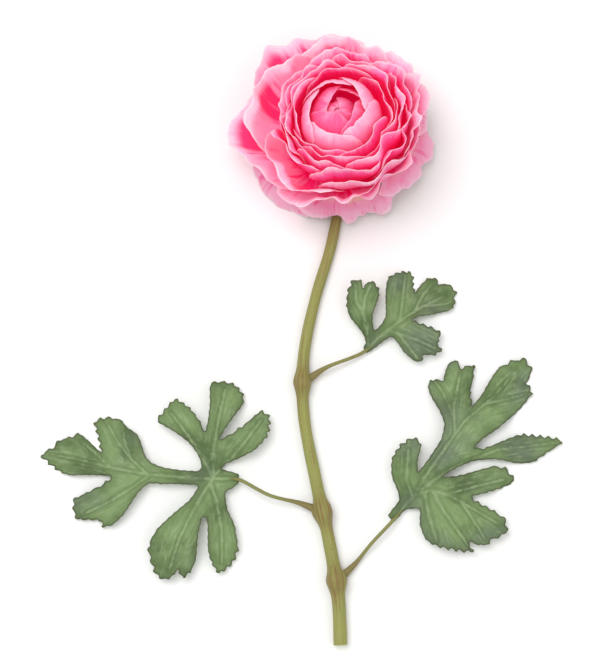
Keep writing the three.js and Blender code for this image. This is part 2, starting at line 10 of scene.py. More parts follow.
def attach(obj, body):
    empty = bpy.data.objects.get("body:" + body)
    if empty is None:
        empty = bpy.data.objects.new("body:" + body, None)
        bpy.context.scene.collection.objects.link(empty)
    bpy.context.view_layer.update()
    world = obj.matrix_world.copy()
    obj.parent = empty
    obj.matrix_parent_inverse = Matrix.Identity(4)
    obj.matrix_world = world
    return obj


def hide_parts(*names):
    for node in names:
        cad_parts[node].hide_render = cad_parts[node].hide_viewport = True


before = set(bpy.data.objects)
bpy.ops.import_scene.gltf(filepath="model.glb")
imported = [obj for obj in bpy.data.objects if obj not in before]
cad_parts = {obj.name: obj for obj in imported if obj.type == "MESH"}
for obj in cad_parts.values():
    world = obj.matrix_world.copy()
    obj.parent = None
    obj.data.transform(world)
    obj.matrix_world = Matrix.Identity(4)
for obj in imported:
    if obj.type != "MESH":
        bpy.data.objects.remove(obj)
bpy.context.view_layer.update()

# ------------------------------------------------------------------ dimensions (mm, degrees)
LEAN_X = -8.0
LEAN_Y = 8.0
RECEPTACLE_Z = 24.0
OPEN_AZIMUTH = 160.0
OPEN_AMOUNT = 0.22
STEM_NECK_RADIUS = 2.6
STEM_RADIUS = 2.4
STEM_END_RADIUS = 3.0
FLOOR_GAP = 0.02
SHIFT = np.array([19.779903411865234, 87.78445434570312, 0.004411349073052406])

PROFILES = np.array([
    [[1.6, 8.2], [8.4, 9.2], [11.6, 27.4], [0.3, 30.0]],
    [[2.8, 6.7], [16.6, 8.2], [18.2, 29.0], [3.0, 30.8]],
    [[3.9, 5.3], [19.6, 4.4], [21.0, 27.0], [10.8, 31.4]],
    [[4.8, 4.1], [22.0, 2.2], [24.4, 20.0], [20.4, 30.2]],
    [[5.5, 3.0], [23.6, 1.0], [27.6, 17.0], [24.2, 31.2]],
    [[6.1, 1.9], [25.0, -0.2], [31.0, 13.5], [28.6, 30.2]],
    [[6.6, 0.8], [25.8, -1.5], [34.0, 9.5], [33.2, 27.2]],
    [[7.1, -0.4], [26.3, -2.8], [36.5, 4.5], [38.6, 21.0]],
    [[7.4, -1.7], [26.6, -4.2], [38.5, -0.5], [44.2, 12.0]],
    [[7.3, -3.1], [28.0, -4.6], [42.0, -5.0], [46.0, -14.0]],
])
# How much wider each ring reaches on the open side, on the other, and towards the stem.
SPREAD_OPEN = np.array([0, 0, 0, -0.09, -0.15, -0.19, -0.22, 0.03, 0.18, 0.14])
SPREAD_TIGHT = np.array([0, 0, 0, 0.0, -0.01, -0.02, -0.04, -0.09, -0.14, -0.08])
SPREAD_LOW = np.array([0, 0, 0, -0.02, -0.03, -0.04, -0.06, -0.11, -0.19, -0.28])
UNEVEN = 0.016  # how unevenly the rings stand apart on the closed side

# name, count, ring number, turn, overlap step, half widths, shared ruffle, own ruffle, rim curl, round corners, material
RINGS = [
    dict(name="petal_heart_inner", n=3, L=0, turn=20, step=0.30, w0=0.40, w1=0.64, A=0.0, own=0.05, curl=0.0, corner=0.05, mat="heart_core"),
    dict(name="petal_heart_middle", n=4, L=1, turn=62, step=-0.34, w0=0.42, w1=0.72, A=0.05, own=0.12, curl=0.0, corner=0.10, mat="heart_core"),
    dict(name="petal_heart_outer", n=5, L=2, turn=250, step=0.24, w0=0.42, w1=0.74, A=0.10, own=0.18, curl=0.2, corner=0.08, mat="heart"),
    dict(name="petal_ring_1", n=5, L=3, turn=20, step=-0.40, w0=0.42, w1=0.72, A=0.6, own=0.6, curl=1.1, corner=0.22, mat="ring"),
    dict(name="petal_ring_2", n=5, L=4, turn=48, step=0.42, w0=0.42, w1=0.69, A=1.0, own=0.8, curl=1.5, corner=0.24, mat="ring"),
    dict(name="petal_ring_3", n=6, L=5, turn=11, step=0.42, w0=0.42, w1=0.69, A=1.3, own=1.0, curl=1.8, corner=0.26, mat="ring"),
    dict(name="petal_ring_4", n=6, L=6, turn=37, step=-0.46, w0=0.42, w1=0.70, A=1.5, own=1.1, curl=2.0, corner=0.26, mat="ring"),
    dict(name="petal_ring_5", n=5, L=7, turn=150, step=0.36, w0=0.42, w1=0.70, A=1.6, own=1.2, curl=2.2, corner=0.26, mat="wide"),
    dict(name="petal_ring_6", n=5, L=8, turn=186, step=-0.42, w0=0.42, w1=0.70, A=1.6, own=1.4, curl=2.0, corner=0.26, mat="wide"),
    dict(name="petal_skirt", n=5, L=9, turn=126, step=0.32, w0=0.42, w1=0.66, A=0.9, own=1.3, curl=1.6, corner=0.22, mat="skirt"),
]
SKIRT = 9


# ------------------------------------------------------------------ small maths
def smooth(a, b, x):
    u = np.clip((np.asarray(x, float) - a) / (b - a), 0.0, 1.0)
    return u * u * (3 - 2 * u)


def rnd(k):
    x = math.sin(k * 127.1 + 311.7) * 43758.5453
    return x - math.floor(x)


def lin(r, g, b):
    """sRGB 0-255 to linear."""
    out = []
    for c in (r, g, b):
        c /= 255.0
        out.append(c / 12.92 if c <= 0.04045 else ((c + 0.055) / 1.055) ** 2.4)
    return (*out, 1.0)


AXIS_W = np.array([math.sin(math.radians(LEAN_X)), math.sin(math.radians(LEAN_Y)), 1.0])
AXIS_W /= np.linalg.norm(AXIS_W)
AXIS_U = np.array([1.0, 0, 0]) - AXIS_W * AXIS_W[0]
AXIS_U /= np.linalg.norm(AXIS_U)
AXIS_V = np.cross(AXIS_W, AXIS_U)
BLOOM = np.array([0, 0, RECEPTACLE_Z])


def place(r, theta, w):
    r, theta, w = np.broadcast_arrays(r, theta, w)
    return (BLOOM + (r * np.cos(theta))[..., None] * AXIS_U
            + (r * np.sin(theta))[..., None] * AXIS_V + w[..., None] * AXIS_W)


def skirt_tip(theta):
    rise = 45 * (AXIS_U[2] * np.cos(theta) + AXIS_V[2] * np.sin(theta))
    return np.clip((-RECEPTACLE_Z - rise - 1.5) / AXIS_W[2], -24, -8)


def control(k, L, theta):
    i = np.clip(np.floor(L), 0, len(PROFILES) - 2).astype(int)
    f = L - i
    a = PROFILES[i, k]
    b = PROFILES[i + 1, k]
    ar, aw = a[..., 0], a[..., 1]
    br, bw = b[..., 0].copy(), b[..., 1].copy()
    last = i + 1 == SKIRT
    drop = np.where(last, skirt_tip(theta) - PROFILES[SKIRT, k, 1], 0.0)
    if k == 3:
        bw = bw + drop
        br = br + 0.22 * np.minimum(0, drop)
    if k == 2:
        bw = bw + 0.3 * drop
    return ar + (br - ar) * f, aw + (bw - aw) * f


def profile(L, t, theta):
    lift = np.sin(math.pi * np.clip((L - 1.7) / 7.3, 0, 1))
    L2 = L + OPEN_AMOUNT * np.cos(theta - math.radians(OPEN_AZIMUTH)) * lift
    p0, p1 = control(0, L, theta), control(1, L, theta)
    p2, p3 = control(2, L2, theta), control(3, L2, theta)
    u = 1 - t
    b = (u * u * u, 3 * u * u * t, 3 * u * t * t, t * t * t)
    r, w = (b[0] * p0[c] + b[1] * p1[c] + b[2] * p2[c] + b[3] * p3[c] for c in (0, 1))
    ring_ids = np.arange(len(PROFILES))
    openness = 0.5 + 0.5 * np.cos(theta - math.radians(OPEN_AZIMUTH))
    wide = (np.interp(L, ring_ids, SPREAD_OPEN) * openness
            + np.interp(L, ring_ids, SPREAD_TIGHT) * (1 - openness)
            + np.interp(L, ring_ids, SPREAD_LOW) * (0.5 - 0.5 * np.sin(theta)) ** 2
            + UNEVEN * (1 - openness) * np.sin(2 * theta + 2.1 * L) * smooth(2.5, 4, L) * (1 - smooth(7, 8.5, L))
            ) * smooth(0.1, 0.9, t)
    return r * (1 + wide), w


def ruffle(L, t, theta):
    """The ruffle that neighbouring rings share, stronger away from the open side."""
    amount = smooth(0.35, 1.0, t) ** 1.3 * (1.02 - 0.42 * np.cos(theta - math.radians(OPEN_AZIMUTH)))
    return amount * ((0.66 + 0.44 * np.sin(3 * theta + 0.7 * L)) * (
        0.68 * np.sin(7 * theta + 0.6 * L) + 0.44 * np.sin(12 * theta + 1.1 * L + 1))
        + 0.24 * np.sin(4 * theta - 0.5 * L + 2))


# ------------------------------------------------------------------ meshes
def make_object(name, verts_mm, faces, attrs, material, node, smooth_shade=True):
    """A piece from points in mm, with float attributes on its points."""
    me = bpy.data.meshes.new(name)
    co = (np.asarray(verts_mm, float) + SHIFT) * 0.001
    me.from_pydata([tuple(v) for v in co], [], [tuple(int(i) for i in f) for f in faces])
    me.update()
    for key, values in attrs.items():
        a = me.attributes.new(key, "FLOAT", "POINT")
        a.data.foreach_set("value", np.asarray(values, np.float32))
    if smooth_shade:
        me.polygons.foreach_set("use_smooth", [True] * len(me.polygons))
    ob = bpy.data.objects.new(name, me)
    bpy.context.scene.collection.objects.link(ob)
    ob.data.materials.append(material)
    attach(ob, "root")
    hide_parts(node)
    return ob


def grid_faces(nu, nv, offset, flip):
    i, j = np.meshgrid(np.arange(nu), np.arange(nv))
    a = offset + j * (nu + 1) + i
    q = np.stack([a, a + 1, a + nu + 2, a + nu + 1], -1).reshape(-1, 4)
    return q[:, ::-1] if flip else q


def sheet_mesh(P, thick):
    """A closed sheet from a grid of mid-surface points (nv+1, nu+1, 3): inner side first."""
    nv, nu = P.shape[0] - 1, P.shape[1] - 1
    du = np.gradient(P, axis=1)
    dv = np.gradient(P, axis=0)
    n = np.cross(du, dv)
    n /= np.maximum(np.linalg.norm(n, axis=-1, keepdims=True), 1e-9)
    h = 0.5 * thick[..., None]
    top = (P + n * h).reshape(-1, 3)
    low = (P - n * h).reshape(-1, 3)
    verts = np.concatenate([top, low])
    m = (nu + 1) * (nv + 1)
    faces = [grid_faces(nu, nv, 0, False), grid_faces(nu, nv, m, True)]
    at = lambda i, j: j * (nu + 1) + i
    rim = []
    for i in range(nu):
        rim.append((at(i, 0), m + at(i, 0), m + at(i + 1, 0), at(i + 1, 0)))
        rim.append((at(i + 1, nv), m + at(i + 1, nv), m + at(i, nv), at(i, nv)))
    for j in range(nv):
        rim.append((at(0, j + 1), m + at(0, j + 1), m + at(0, j), at(0, j)))
        rim.append((at(nu, j), m + at(nu, j), m + at(nu, j + 1), at(nu, j + 1)))
    faces.append(np.array(rim))
    return verts, np.concatenate(faces), n


def wobble(x, seed, freqs, amps):
    out = np.zeros_like(x)
    for q, (f, a) in enumerate(zip(freqs, amps)):
        out += a * np.sin(2 * math.pi * (f * (0.9 + 0.2 * rnd(seed + 3.1 * q)) * x + rnd(seed + 7.7 * q)))
    return out


# Petals that would run into the next ring turn out, wave and fold less by themselves.
CALM = {
    ("petal_ring_1", 1): 0.3, ("petal_ring_2", 4): 0.4, ("petal_ring_3", 1): 0.7, ("petal_ring_3", 4): 0.15,
    ("petal_ring_3", 5): 0.1, ("petal_ring_4", 4): 0.6, ("petal_ring_5", 2): 0.3, ("petal_ring_6", 1): 0.75,
    ("petal_ring_6", 2): 0.55,
}


def petal(ring, k, materials):
    calm = CALM.get((ring["name"], k), 1.0)
    big = ring["L"] >= 3
    nu = (64 if ring["L"] >= 5 else 52 if big else 40)
    nv = (46 if big else 38)
    slot = 2 * math.pi / ring["n"]
    seed = ring["L"] * 17 + k * 5.3
    centre = math.radians(ring["turn"]) + k * slot + (rnd(seed) - 0.5) * 0.07 * slot
    s, v = np.meshgrid(np.linspace(-1, 1, nu + 1), np.linspace(0, 1, nv + 1) ** 0.92)
    rim_r = PROFILES[ring["L"], 3, 0] if ring["L"] > 1 else 8.0
    width = 2 * ring["w1"] * slot * max(rim_r, 8.0)
    size = min(1.0, 0.35 + 0.09 * ring["L"])
    if ring["L"] < 2:
        full = (1.0, (0.80, 0.97, 1.02, 0.90)[k % 4])[ring["L"]]
    else:
        full = 0.95 + 0.04 * rnd(seed + 1) if ring["L"] == 2 else 0.91 + 0.11 * rnd(seed + 1)
    reach = full - ring["corner"] * np.abs(s) ** 3.0
    reach = reach - (0.16 if ring["L"] > 2 else 0.10) * smooth(0.72, 1.0, np.abs(s)) ** 2
    reach = reach + size * wobble(s * 0.5, seed + 11, (width / 30, width / 13, width / 5.0, width / 2.6),
                                  (0.012, 0.011, 0.0055, 0.003))
    if rnd(seed + 21) > 0.45 and ring["L"] >= 2:
        reach = reach - size * (0.02 + 0.035 * rnd(seed + 23)) * np.exp(-((s - (rnd(seed + 22) - 0.5)) / 0.10) ** 2)
    t = v * reach
    half = ring["w0"] + (ring["w1"] - ring["w0"]) * smooth(0.2, 0.62, t)
    d = half * s
    theta = centre + d * slot
    L = ring["L"] + ring["step"] * smooth(0.0, 0.3, t) * d
    e = 0.002
    a = profile(L, t, theta)
    b = profile(L, t + e, theta)
    ln = np.hypot(b[0] - a[0], b[1] - a[1])
    nr, nw = (b[1] - a[1]) / ln, -(b[0] - a[0]) / ln
    wave = (ring["A"] + 0.45 * ring["own"]) * ruffle(ring["L"], t, theta)
    # Tighter ruffles away from the open side.
    tight = 0.5 - 0.5 * np.cos(theta - math.radians(OPEN_AZIMUTH))
    own = calm * ring["own"] * (0.50 + 1.10 * tight) * smooth(0.45, 1.0, t) ** 1.5
    # A petal waves by itself only where no neighbour of its ring lies against it.
    free = 1 - smooth(0.30, 0.72, np.abs(s))
    wave = wave + 0.9 * own * free * wobble(s * 0.5, seed + 31, (width / 24, width / 11.5), (0.62, 0.5))
    wave = wave + 0.35 * own * wobble(s * 0.5 + 0.1 * t, seed + 37, (width / 6.0,), (0.5,)) * smooth(0.80, 1.0, v)
    # Soft folds that run from the claw to the rim.
    broad = (2.6 if ring["L"] in (7, 8) else 0.5 if ring["L"] == SKIRT else 0.0) * (1.0 - tight)
    fold = (0.15 + 0.40 * size + broad) * smooth(0.15, 0.6, t)
    s0 = 0.9 * (rnd(seed + 41) - 0.5)
    valley = -fold * np.exp(-((s - s0 - 0.1 * (t - 0.5)) / 0.12) ** 2) * (0.6 + 0.8 * rnd(seed + 42))
    s1 = s0 + (0.55 if s0 < 0 else -0.55)
    valley = valley + fold * np.exp(-((s - s1 + 0.12 * (t - 0.5)) / 0.15) ** 2) * (0.5 + 0.7 * rnd(seed + 43))
    if ring["L"] >= 6:
        s2 = s0 - (0.38 if s0 > 0 else -0.38)
        valley = valley + 0.8 * fold * np.exp(-((s - s2 + 0.2 * (t - 0.5)) / 0.08) ** 2) * (0.4 + 0.6 * rnd(seed + 44))
        s3 = s1 + (0.3 if s1 < 0 else -0.3)
        valley = valley - 0.6 * fold * np.exp(-((s - s3 - 0.15 * (t - 0.5)) / 0.09) ** 2) * (0.4 + 0.6 * rnd(seed + 45))
    if ring["L"] in (3, 4, 5, 6):
        valley = valley * (1 - smooth(0.40, 0.75, np.abs(s)))
    valley = calm * valley
    wave = wave + valley
    # Fine crinkles along the petal.
    wave = wave + 0.07 * smooth(0.1, 0.5, t) * np.sin(2 * math.pi * (s * width / 3.4 + 0.35 * np.sin(5 * t + 6 * s)))
    # The rim turns out a little.
    roll = 1.15 * ring["curl"] * np.clip((v - 0.84) / 0.16, 0, 1) ** 2 * (0.75 + 0.5 * wobble(s * 0.5, seed + 51, (width / 26,), (1.0,)))
    # An edge that lies under its neighbour, or low down against the next ring, stays flat.
    under = smooth(0.28, 0.60, -s * np.sign(ring["step"]))
    low = 1 - smooth(0.84, 0.98, t / full) if ring["L"] < 8 else 0.0
    wave = wave + calm * roll * (1 - 0.96 * under) * (1 - low)
    P = place(a[0] + nr * wave, theta, a[1] + nw * wave)
    if ring["L"] == SKIRT:
        low = 0.17 + FLOOR_GAP
        h = P[..., 2] - low
        P[..., 2] = low + (h + np.sqrt(h * h + 1.2)) / 2
    edge_v = smooth(0.0, 0.08, 1 - v)
    edge_s = smooth(0.0, 0.10, 1 - np.abs(s))
    thick = 0.16 + 0.20 * np.minimum(edge_v, edge_s) + 0.10 * (1 - smooth(0.0, 0.4, v))
    verts, faces, _ = sheet_mesh(P, thick)
    length = 44.0 if ring["L"] > 2 else 28.0
    across = (1 - np.abs(s)) * 0.5 * width * (0.4 + 0.6 * smooth(0.1, 0.6, t))
    rim = np.minimum((1 - v) * length, across)
    deep = np.minimum((1 - v) * length, 2.5 + 1.8 * across)
    both = lambda x: np.concatenate([x.ravel(), x.ravel()])
    count = s.size
    attrs = dict(
        a_s=both(s * width / 40.0), a_t=both(t), a_rim=both(rim * 0.1), a_dep=both(np.clip(deep / 24.0, 0, 1)),
        a_side=np.concatenate([np.zeros(count), np.ones(count)]),
        a_seed=np.full(2 * count, rnd(seed + 61) * 8.0),
        # a_fold holds the fold height, which the materials use to paint shade into the creases.
        a_fold=both(np.clip(valley, -2, 3)),
    )
    node = f"{ring['name']}_{'abcdefg'[k]}"
    return make_object(f"vis_{node}", verts, faces, attrs, materials[ring["mat"]], node)


# ------------------------------------------------------------------ node graphs
class Graph:
    def __init__(self, name):
        self.mat = bpy.data.materials.new(name)
        self.mat.use_nodes = True
        self.nt = self.mat.node_tree
        self.nt.nodes.clear()
        self.out = self.nt.nodes.new("ShaderNodeOutputMaterial")
        self.bsdf = self.nt.nodes.new("ShaderNodeBsdfPrincipled")
        self.nt.links.new(self.bsdf.outputs[0], self.out.inputs["Surface"])

    def put(self, socket, value):
        if isinstance(value, bpy.types.NodeSocket):
            self.nt.links.new(value, socket)
        else:
            socket.default_value = value

    def attr(self, name):
        n = self.nt.nodes.new("ShaderNodeAttribute")
        n.attribute_name = name
        return n.outputs["Fac"]

    def math(self, op, a, b=0.0, c=None, clamp=False):
        n = self.nt.nodes.new("ShaderNodeMath")
        n.operation = op
        n.use_clamp = clamp
        self.put(n.inputs[0], a)
        self.put(n.inputs[1], b)
        if c is not None:
            self.put(n.inputs[2], c)
        return n.outputs[0]

    def vec(self, x, y, z):
        n = self.nt.nodes.new("ShaderNodeCombineXYZ")
        for i, q in enumerate((x, y, z)):
            self.put(n.inputs[i], q)
        return n.outputs[0]

    def coords(self):
        return self.nt.nodes.new("ShaderNodeTexCoord").outputs["Object"]

    def noise(self, vector, scale, detail=3.0, rough=0.5, distortion=0.0):
        n = self.nt.nodes.new("ShaderNodeTexNoise")
        self.put(n.inputs["Vector"], vector)
        n.inputs["Scale"].default_value = scale
        n.inputs["Detail"].default_value = detail
        n.inputs["Roughness"].default_value = rough
        n.inputs["Distortion"].default_value = distortion
        return n.outputs["Fac"]

    def ramp(self, fac, stops, ease="EASE"):
        n = self.nt.nodes.new("ShaderNodeValToRGB")
        n.color_ramp.interpolation = ease
        el = n.color_ramp.elements
        while len(el) < len(stops):
            el.new(0.5)
        for e, (p, c) in zip(el, stops):
            e.position = p
            e.color = c
        self.put(n.inputs[0], fac)
        return n.outputs[0]

    def step(self, fac, lo, hi):
        n = self.nt.nodes.new("ShaderNodeMapRange")
        n.interpolation_type = "SMOOTHSTEP"
        self.put(n.inputs[0], fac)
        n.inputs[1].default_value = lo
        n.inputs[2].default_value = hi
        return n.outputs[0]

    def mix(self, fac, a, b, blend="MIX"):
        n = self.nt.nodes.new("ShaderNodeMix")
        n.data_type = "RGBA"
        n.blend_type = blend
        self.put(n.inputs[0], fac)
        self.put(n.inputs[6], a)
        self.put(n.inputs[7], b)
        return n.outputs[2]

    def bump(self, height, strength, distance, normal=None):
        n = self.nt.nodes.new("ShaderNodeBump")
        n.inputs["Strength"].default_value = strength
        n.inputs["Distance"].default_value = distance
        self.put(n.inputs["Height"], height)
        if normal is not None:
            self.put(n.inputs["Normal"], normal)
        return n.outputs[0]


def petal_material(name, inner, outer, edge, hot, hot_amount, edge_width=0.14, edge_amount=0.5, glow=0.5, painted_glow=0.3):
    """inner and outer are colour stops for the upper and the under face, from the rim to 24 mm in."""
    g = Graph(name)
    s, t, side = g.attr("a_s"), g.attr("a_t"), g.attr("a_side")
    rim, dep, seed = g.attr("a_rim"), g.attr("a_dep"), g.attr("a_seed")
    streak = g.noise(g.vec(g.math("MULTIPLY_ADD", s, 9.0, seed), g.math("MULTIPLY", t, 1.3), seed), 1.0, 4.0, 0.6)
    blotch = g.noise(g.vec(g.math("MULTIPLY_ADD", s, 2.2, seed), g.math("MULTIPLY", t, 2.3), 3.7), 1.0, 3.0, 0.55)
    fine = g.noise(g.vec(g.math("MULTIPLY_ADD", s, 60.0, seed), g.math("MULTIPLY", t, 5.0), seed), 1.0, 3.0, 0.6)
    x = g.math("MULTIPLY_ADD", g.math("SUBTRACT", streak, 0.5), 0.40, dep)
    x = g.math("MULTIPLY_ADD", g.math("SUBTRACT", blotch, 0.5), 0.50, x)
    c_in = g.ramp(x, inner)
    c_out = g.ramp(x, outer)
    # Hot streaks on the upper face (the petals' own colour), plus painted shade: hot red laid along the fold creases,
    # where shade falls.
    m = g.math("MULTIPLY", g.step(streak, 0.48, 0.64), g.step(blotch, 0.46, 0.60))
    crease_shade = g.math("MULTIPLY_ADD", g.math("SUBTRACT", streak, 0.5), 4.5, g.attr("a_fold"))
    m = g.math("MAXIMUM", m, g.math("MULTIPLY", g.step(crease_shade, 0.30, 1.7), 0.95))
    m = g.math("MULTIPLY", m, hot_amount)
    m = g.math("MULTIPLY", m, g.step(rim, 0.15, 0.70))
    c_in = g.mix(m, c_in, hot)
    c = g.mix(side, c_out, c_in)
    rim_n = g.math("MULTIPLY_ADD", g.math("SUBTRACT", fine, 0.5), 0.12, rim)
    em = g.math("SUBTRACT", 1.0, g.step(rim_n, 0.0, edge_width), clamp=True)
    em = g.math("MULTIPLY", em, g.math("MULTIPLY_ADD", g.step(blotch, 0.35, 0.65), 0.8, 0.2))
    c = g.mix(g.math("MULTIPLY", em, edge_amount), c, edge)
    # Painted highlights: pale patches near the rims, standing in for folds that catch the light.
    highlight_noise = g.noise(g.vec(g.math("MULTIPLY_ADD", s, 3.4, seed), g.math("MULTIPLY", t, 1.7), 9.1), 1.0, 3.0, 0.6)
    painted_highlight = g.math("MULTIPLY", g.step(highlight_noise, 0.50, 0.62), g.math("SUBTRACT", 1.0, g.step(rim, 0.10, 0.75), clamp=True))
    c = g.mix(g.math("MULTIPLY", painted_highlight, edge_amount), c, edge)
    # Painted glow: every petal gives off a faint even red light of its own, standing in for light that comes through
    # the thin petals into the gaps.
    g.bsdf.inputs["Emission Color"].default_value = (1.0, 0.0, 0.14, 1.0)
    g.bsdf.inputs["Emission Strength"].default_value = painted_glow
    # Fine veining.
    vein = g.step(fine, 0.35, 0.7)
    c = g.mix(g.math("MULTIPLY", vein, 0.10), c, g.mix(0.5, c, hot, "MULTIPLY"))
    g.put(g.bsdf.inputs["Base Color"], c)
    g.put(g.bsdf.inputs["Roughness"], g.math("MULTIPLY_ADD", fine, 0.18, 0.50))
    g.bsdf.inputs["Specular IOR Level"].default_value = 0.25
    g.bsdf.inputs["Subsurface Weight"].default_value = glow
    g.bsdf.inputs["Subsurface Radius"].default_value = (1.0, 0.22, 0.30)
    g.bsdf.inputs["Subsurface Scale"].default_value = 0.0030
    g.bsdf.inputs["Sheen Weight"].default_value = 0.05
    g.bsdf.inputs["Sheen Roughness"].default_value = 0.5
    weave = g.noise(g.coords(), 1500.0, 2.0, 0.5)
    nrm = g.bump(fine, 0.35, 0.00035)
    nrm = g.bump(weave, 0.18, 0.00012, nrm)
    g.put(g.bsdf.inputs["Normal"], nrm)
    return g.mat


HOT = lin(244, 22, 118)
materials = {
    "heart_core": petal_material(
        "petal_heart_core",
        [(0.0, lin(250, 140, 182)), (0.12, lin(248, 92, 152)), (0.35, lin(246, 30, 114)), (0.8, lin(248, 0, 84))],
        [(0.0, lin(250, 132, 176)), (0.15, lin(248, 98, 150)), (0.5, lin(246, 78, 140)), (1.0, lin(238, 26, 108))],
        lin(253, 190, 212), HOT, 0.6, 0.10, 0.30, 0.25, 0.09),
    "heart": petal_material(
        "petal_heart",
        [(0.0, lin(250, 142, 186)), (0.10, lin(248, 86, 152)), (0.30, lin(248, 22, 110)), (0.7, lin(250, 0, 84))],
        [(0.0, lin(253, 184, 211)), (0.2, lin(252, 156, 193)), (0.5, lin(251, 134, 178)), (0.85, lin(248, 78, 144)), (1.0, lin(246, 32, 114))],
        lin(254, 210, 226), HOT, 0.5, 0.10, 0.40, 0.25, 0.09),
    "ring": petal_material(
        "petal_ring",
        [(0.0, lin(252, 190, 214)), (0.09, lin(251, 158, 198)), (0.21, lin(249, 108, 172)), (0.38, lin(248, 42, 134)), (0.66, lin(251, 2, 100)), (1.0, lin(250, 0, 84))],
        [(0.0, lin(252, 182, 210)), (0.09, lin(250, 142, 188)), (0.25, lin(249, 92, 162)), (0.60, lin(250, 30, 120)), (1.0, lin(252, 0, 90))],
        lin(254, 214, 227), HOT, 0.85, 0.16, 0.45, 0.5, 0.11),
    "wide": petal_material(
        "petal_wide",
        [(0.0, lin(253, 206, 221)), (0.20, lin(252, 192, 215)), (0.55, lin(252, 174, 205)), (0.84, lin(251, 146, 194)), (0.97, lin(248, 88, 162)), (1.0, lin(248, 30, 122))],
        [(0.0, lin(251, 192, 214)), (0.22, lin(249, 164, 196)), (0.5, lin(246, 124, 170)), (1.0, lin(243, 72, 134))],
        lin(253, 218, 227), HOT, 0.95, 0.16, 0.40, 0.5, 0.08),
    "skirt": petal_material(
        "petal_skirt",
        [(0.0, lin(249, 192, 211)), (0.3, lin(247, 166, 194)), (0.75, lin(245, 146, 180)), (0.93, lin(243, 160, 182)), (1.0, lin(236, 190, 172))],
        [(0.0, lin(250, 190, 208)), (0.3, lin(248, 166, 191)), (0.65, lin(245, 162, 186)), (0.9, lin(234, 198, 184)), (1.0, lin(212, 208, 148))],
        lin(252, 216, 226), lin(242, 74, 140), 0.8, 0.16, 0.35, 0.4, 0.05),
}


def leafy(name, top, dark, vein, edge, under):
    g = Graph(name)
    side, ve, ed = g.attr("a_side"), g.attr("a_vein"), g.attr("a_edge")
    big = g.noise(g.coords(), 55.0, 3.0, 0.55)
    mid = g.noise(g.coords(), 260.0, 4.0, 0.6)
    tiny = g.noise(g.coords(), 1400.0, 2.0, 0.5)
    wide = g.noise(g.coords(), 26.0, 2.0, 0.5)
    c = g.mix(g.step(big, 0.38, 0.66), top, dark)
    c = g.mix(g.math("MULTIPLY", g.step(wide, 0.48, 0.62), 0.55), c, lin(106, 118, 106))
    # Streaks along the veins, lighter and darker.
    along = g.noise(g.vec(g.math("MULTIPLY", g.attr("a_lane"), 8.0), g.math("MULTIPLY", g.attr("a_out"), 1.2), g.math("MULTIPLY", big, 2.5)), 1.0, 4.0, 0.62)
    c = g.mix(g.math("MULTIPLY", g.step(along, 0.50, 0.70), 0.62), c, vein)
    c = g.mix(g.math("MULTIPLY", g.math("SUBTRACT", 1.0, g.step(along, 0.28, 0.46), clamp=True), 0.45), c, dark)
    c = g.mix(g.math("MULTIPLY", g.step(mid, 0.45, 0.75), 0.28), c, vein)
    # Darker towards the margins and beside the veins, paler on them.
    c = g.mix(g.math("MULTIPLY", g.math("SUBTRACT", 1.0, g.step(ed, 0.05, 0.55), clamp=True), 0.35), c, dark)
    beside = g.math("MULTIPLY", g.step(g.attr("a_across"), 0.03, 0.08), g.math("SUBTRACT", 1.0, g.step(g.attr("a_across"), 0.08, 0.22), clamp=True))
    c = g.mix(g.math("MULTIPLY", beside, 0.40), c, dark)
    c = g.mix(g.math("MULTIPLY", g.math("MULTIPLY", g.step(ve, 0.25, 0.95), g.step(mid, 0.30, 0.62)), 0.50), c, vein)
    c = g.mix(g.math("MULTIPLY", g.math("SUBTRACT", 1.0, g.step(ed, 0.02, 0.11), clamp=True), 0.60), c, edge)
    u = g.mix(g.step(mid, 0.3, 0.75), under, g.mix(0.5, under, vein))
    u = g.mix(g.math("MULTIPLY", g.step(ve, 0.1, 0.9), 0.5), u, lin(196, 200, 168))
    c = g.mix(side, u, c)
    g.put(g.bsdf.inputs["Base Color"], c)
    g.put(g.bsdf.inputs["Roughness"], g.math("MULTIPLY_ADD", mid, 0.2, 0.52))
    g.bsdf.inputs["Specular IOR Level"].default_value = 0.32
    g.bsdf.inputs["Sheen Weight"].default_value = 0.10
    g.bsdf.inputs["Subsurface Weight"].default_value = 0.06
    g.bsdf.inputs["Subsurface Radius"].default_value = (0.6, 1.0, 0.3)
    g.bsdf.inputs["Subsurface Scale"].default_value = 0.0008
    nrm = g.bump(mid, 0.60, 0.0008)
    nrm = g.bump(tiny, 0.25, 0.00015, nrm)
    g.put(g.bsdf.inputs["Normal"], nrm)
    return g.mat


LEAF = leafy("leaf_green", lin(120, 145, 92), lin(78, 99, 56), lin(150, 168, 126), lin(66, 68, 40), lin(150, 166, 134))


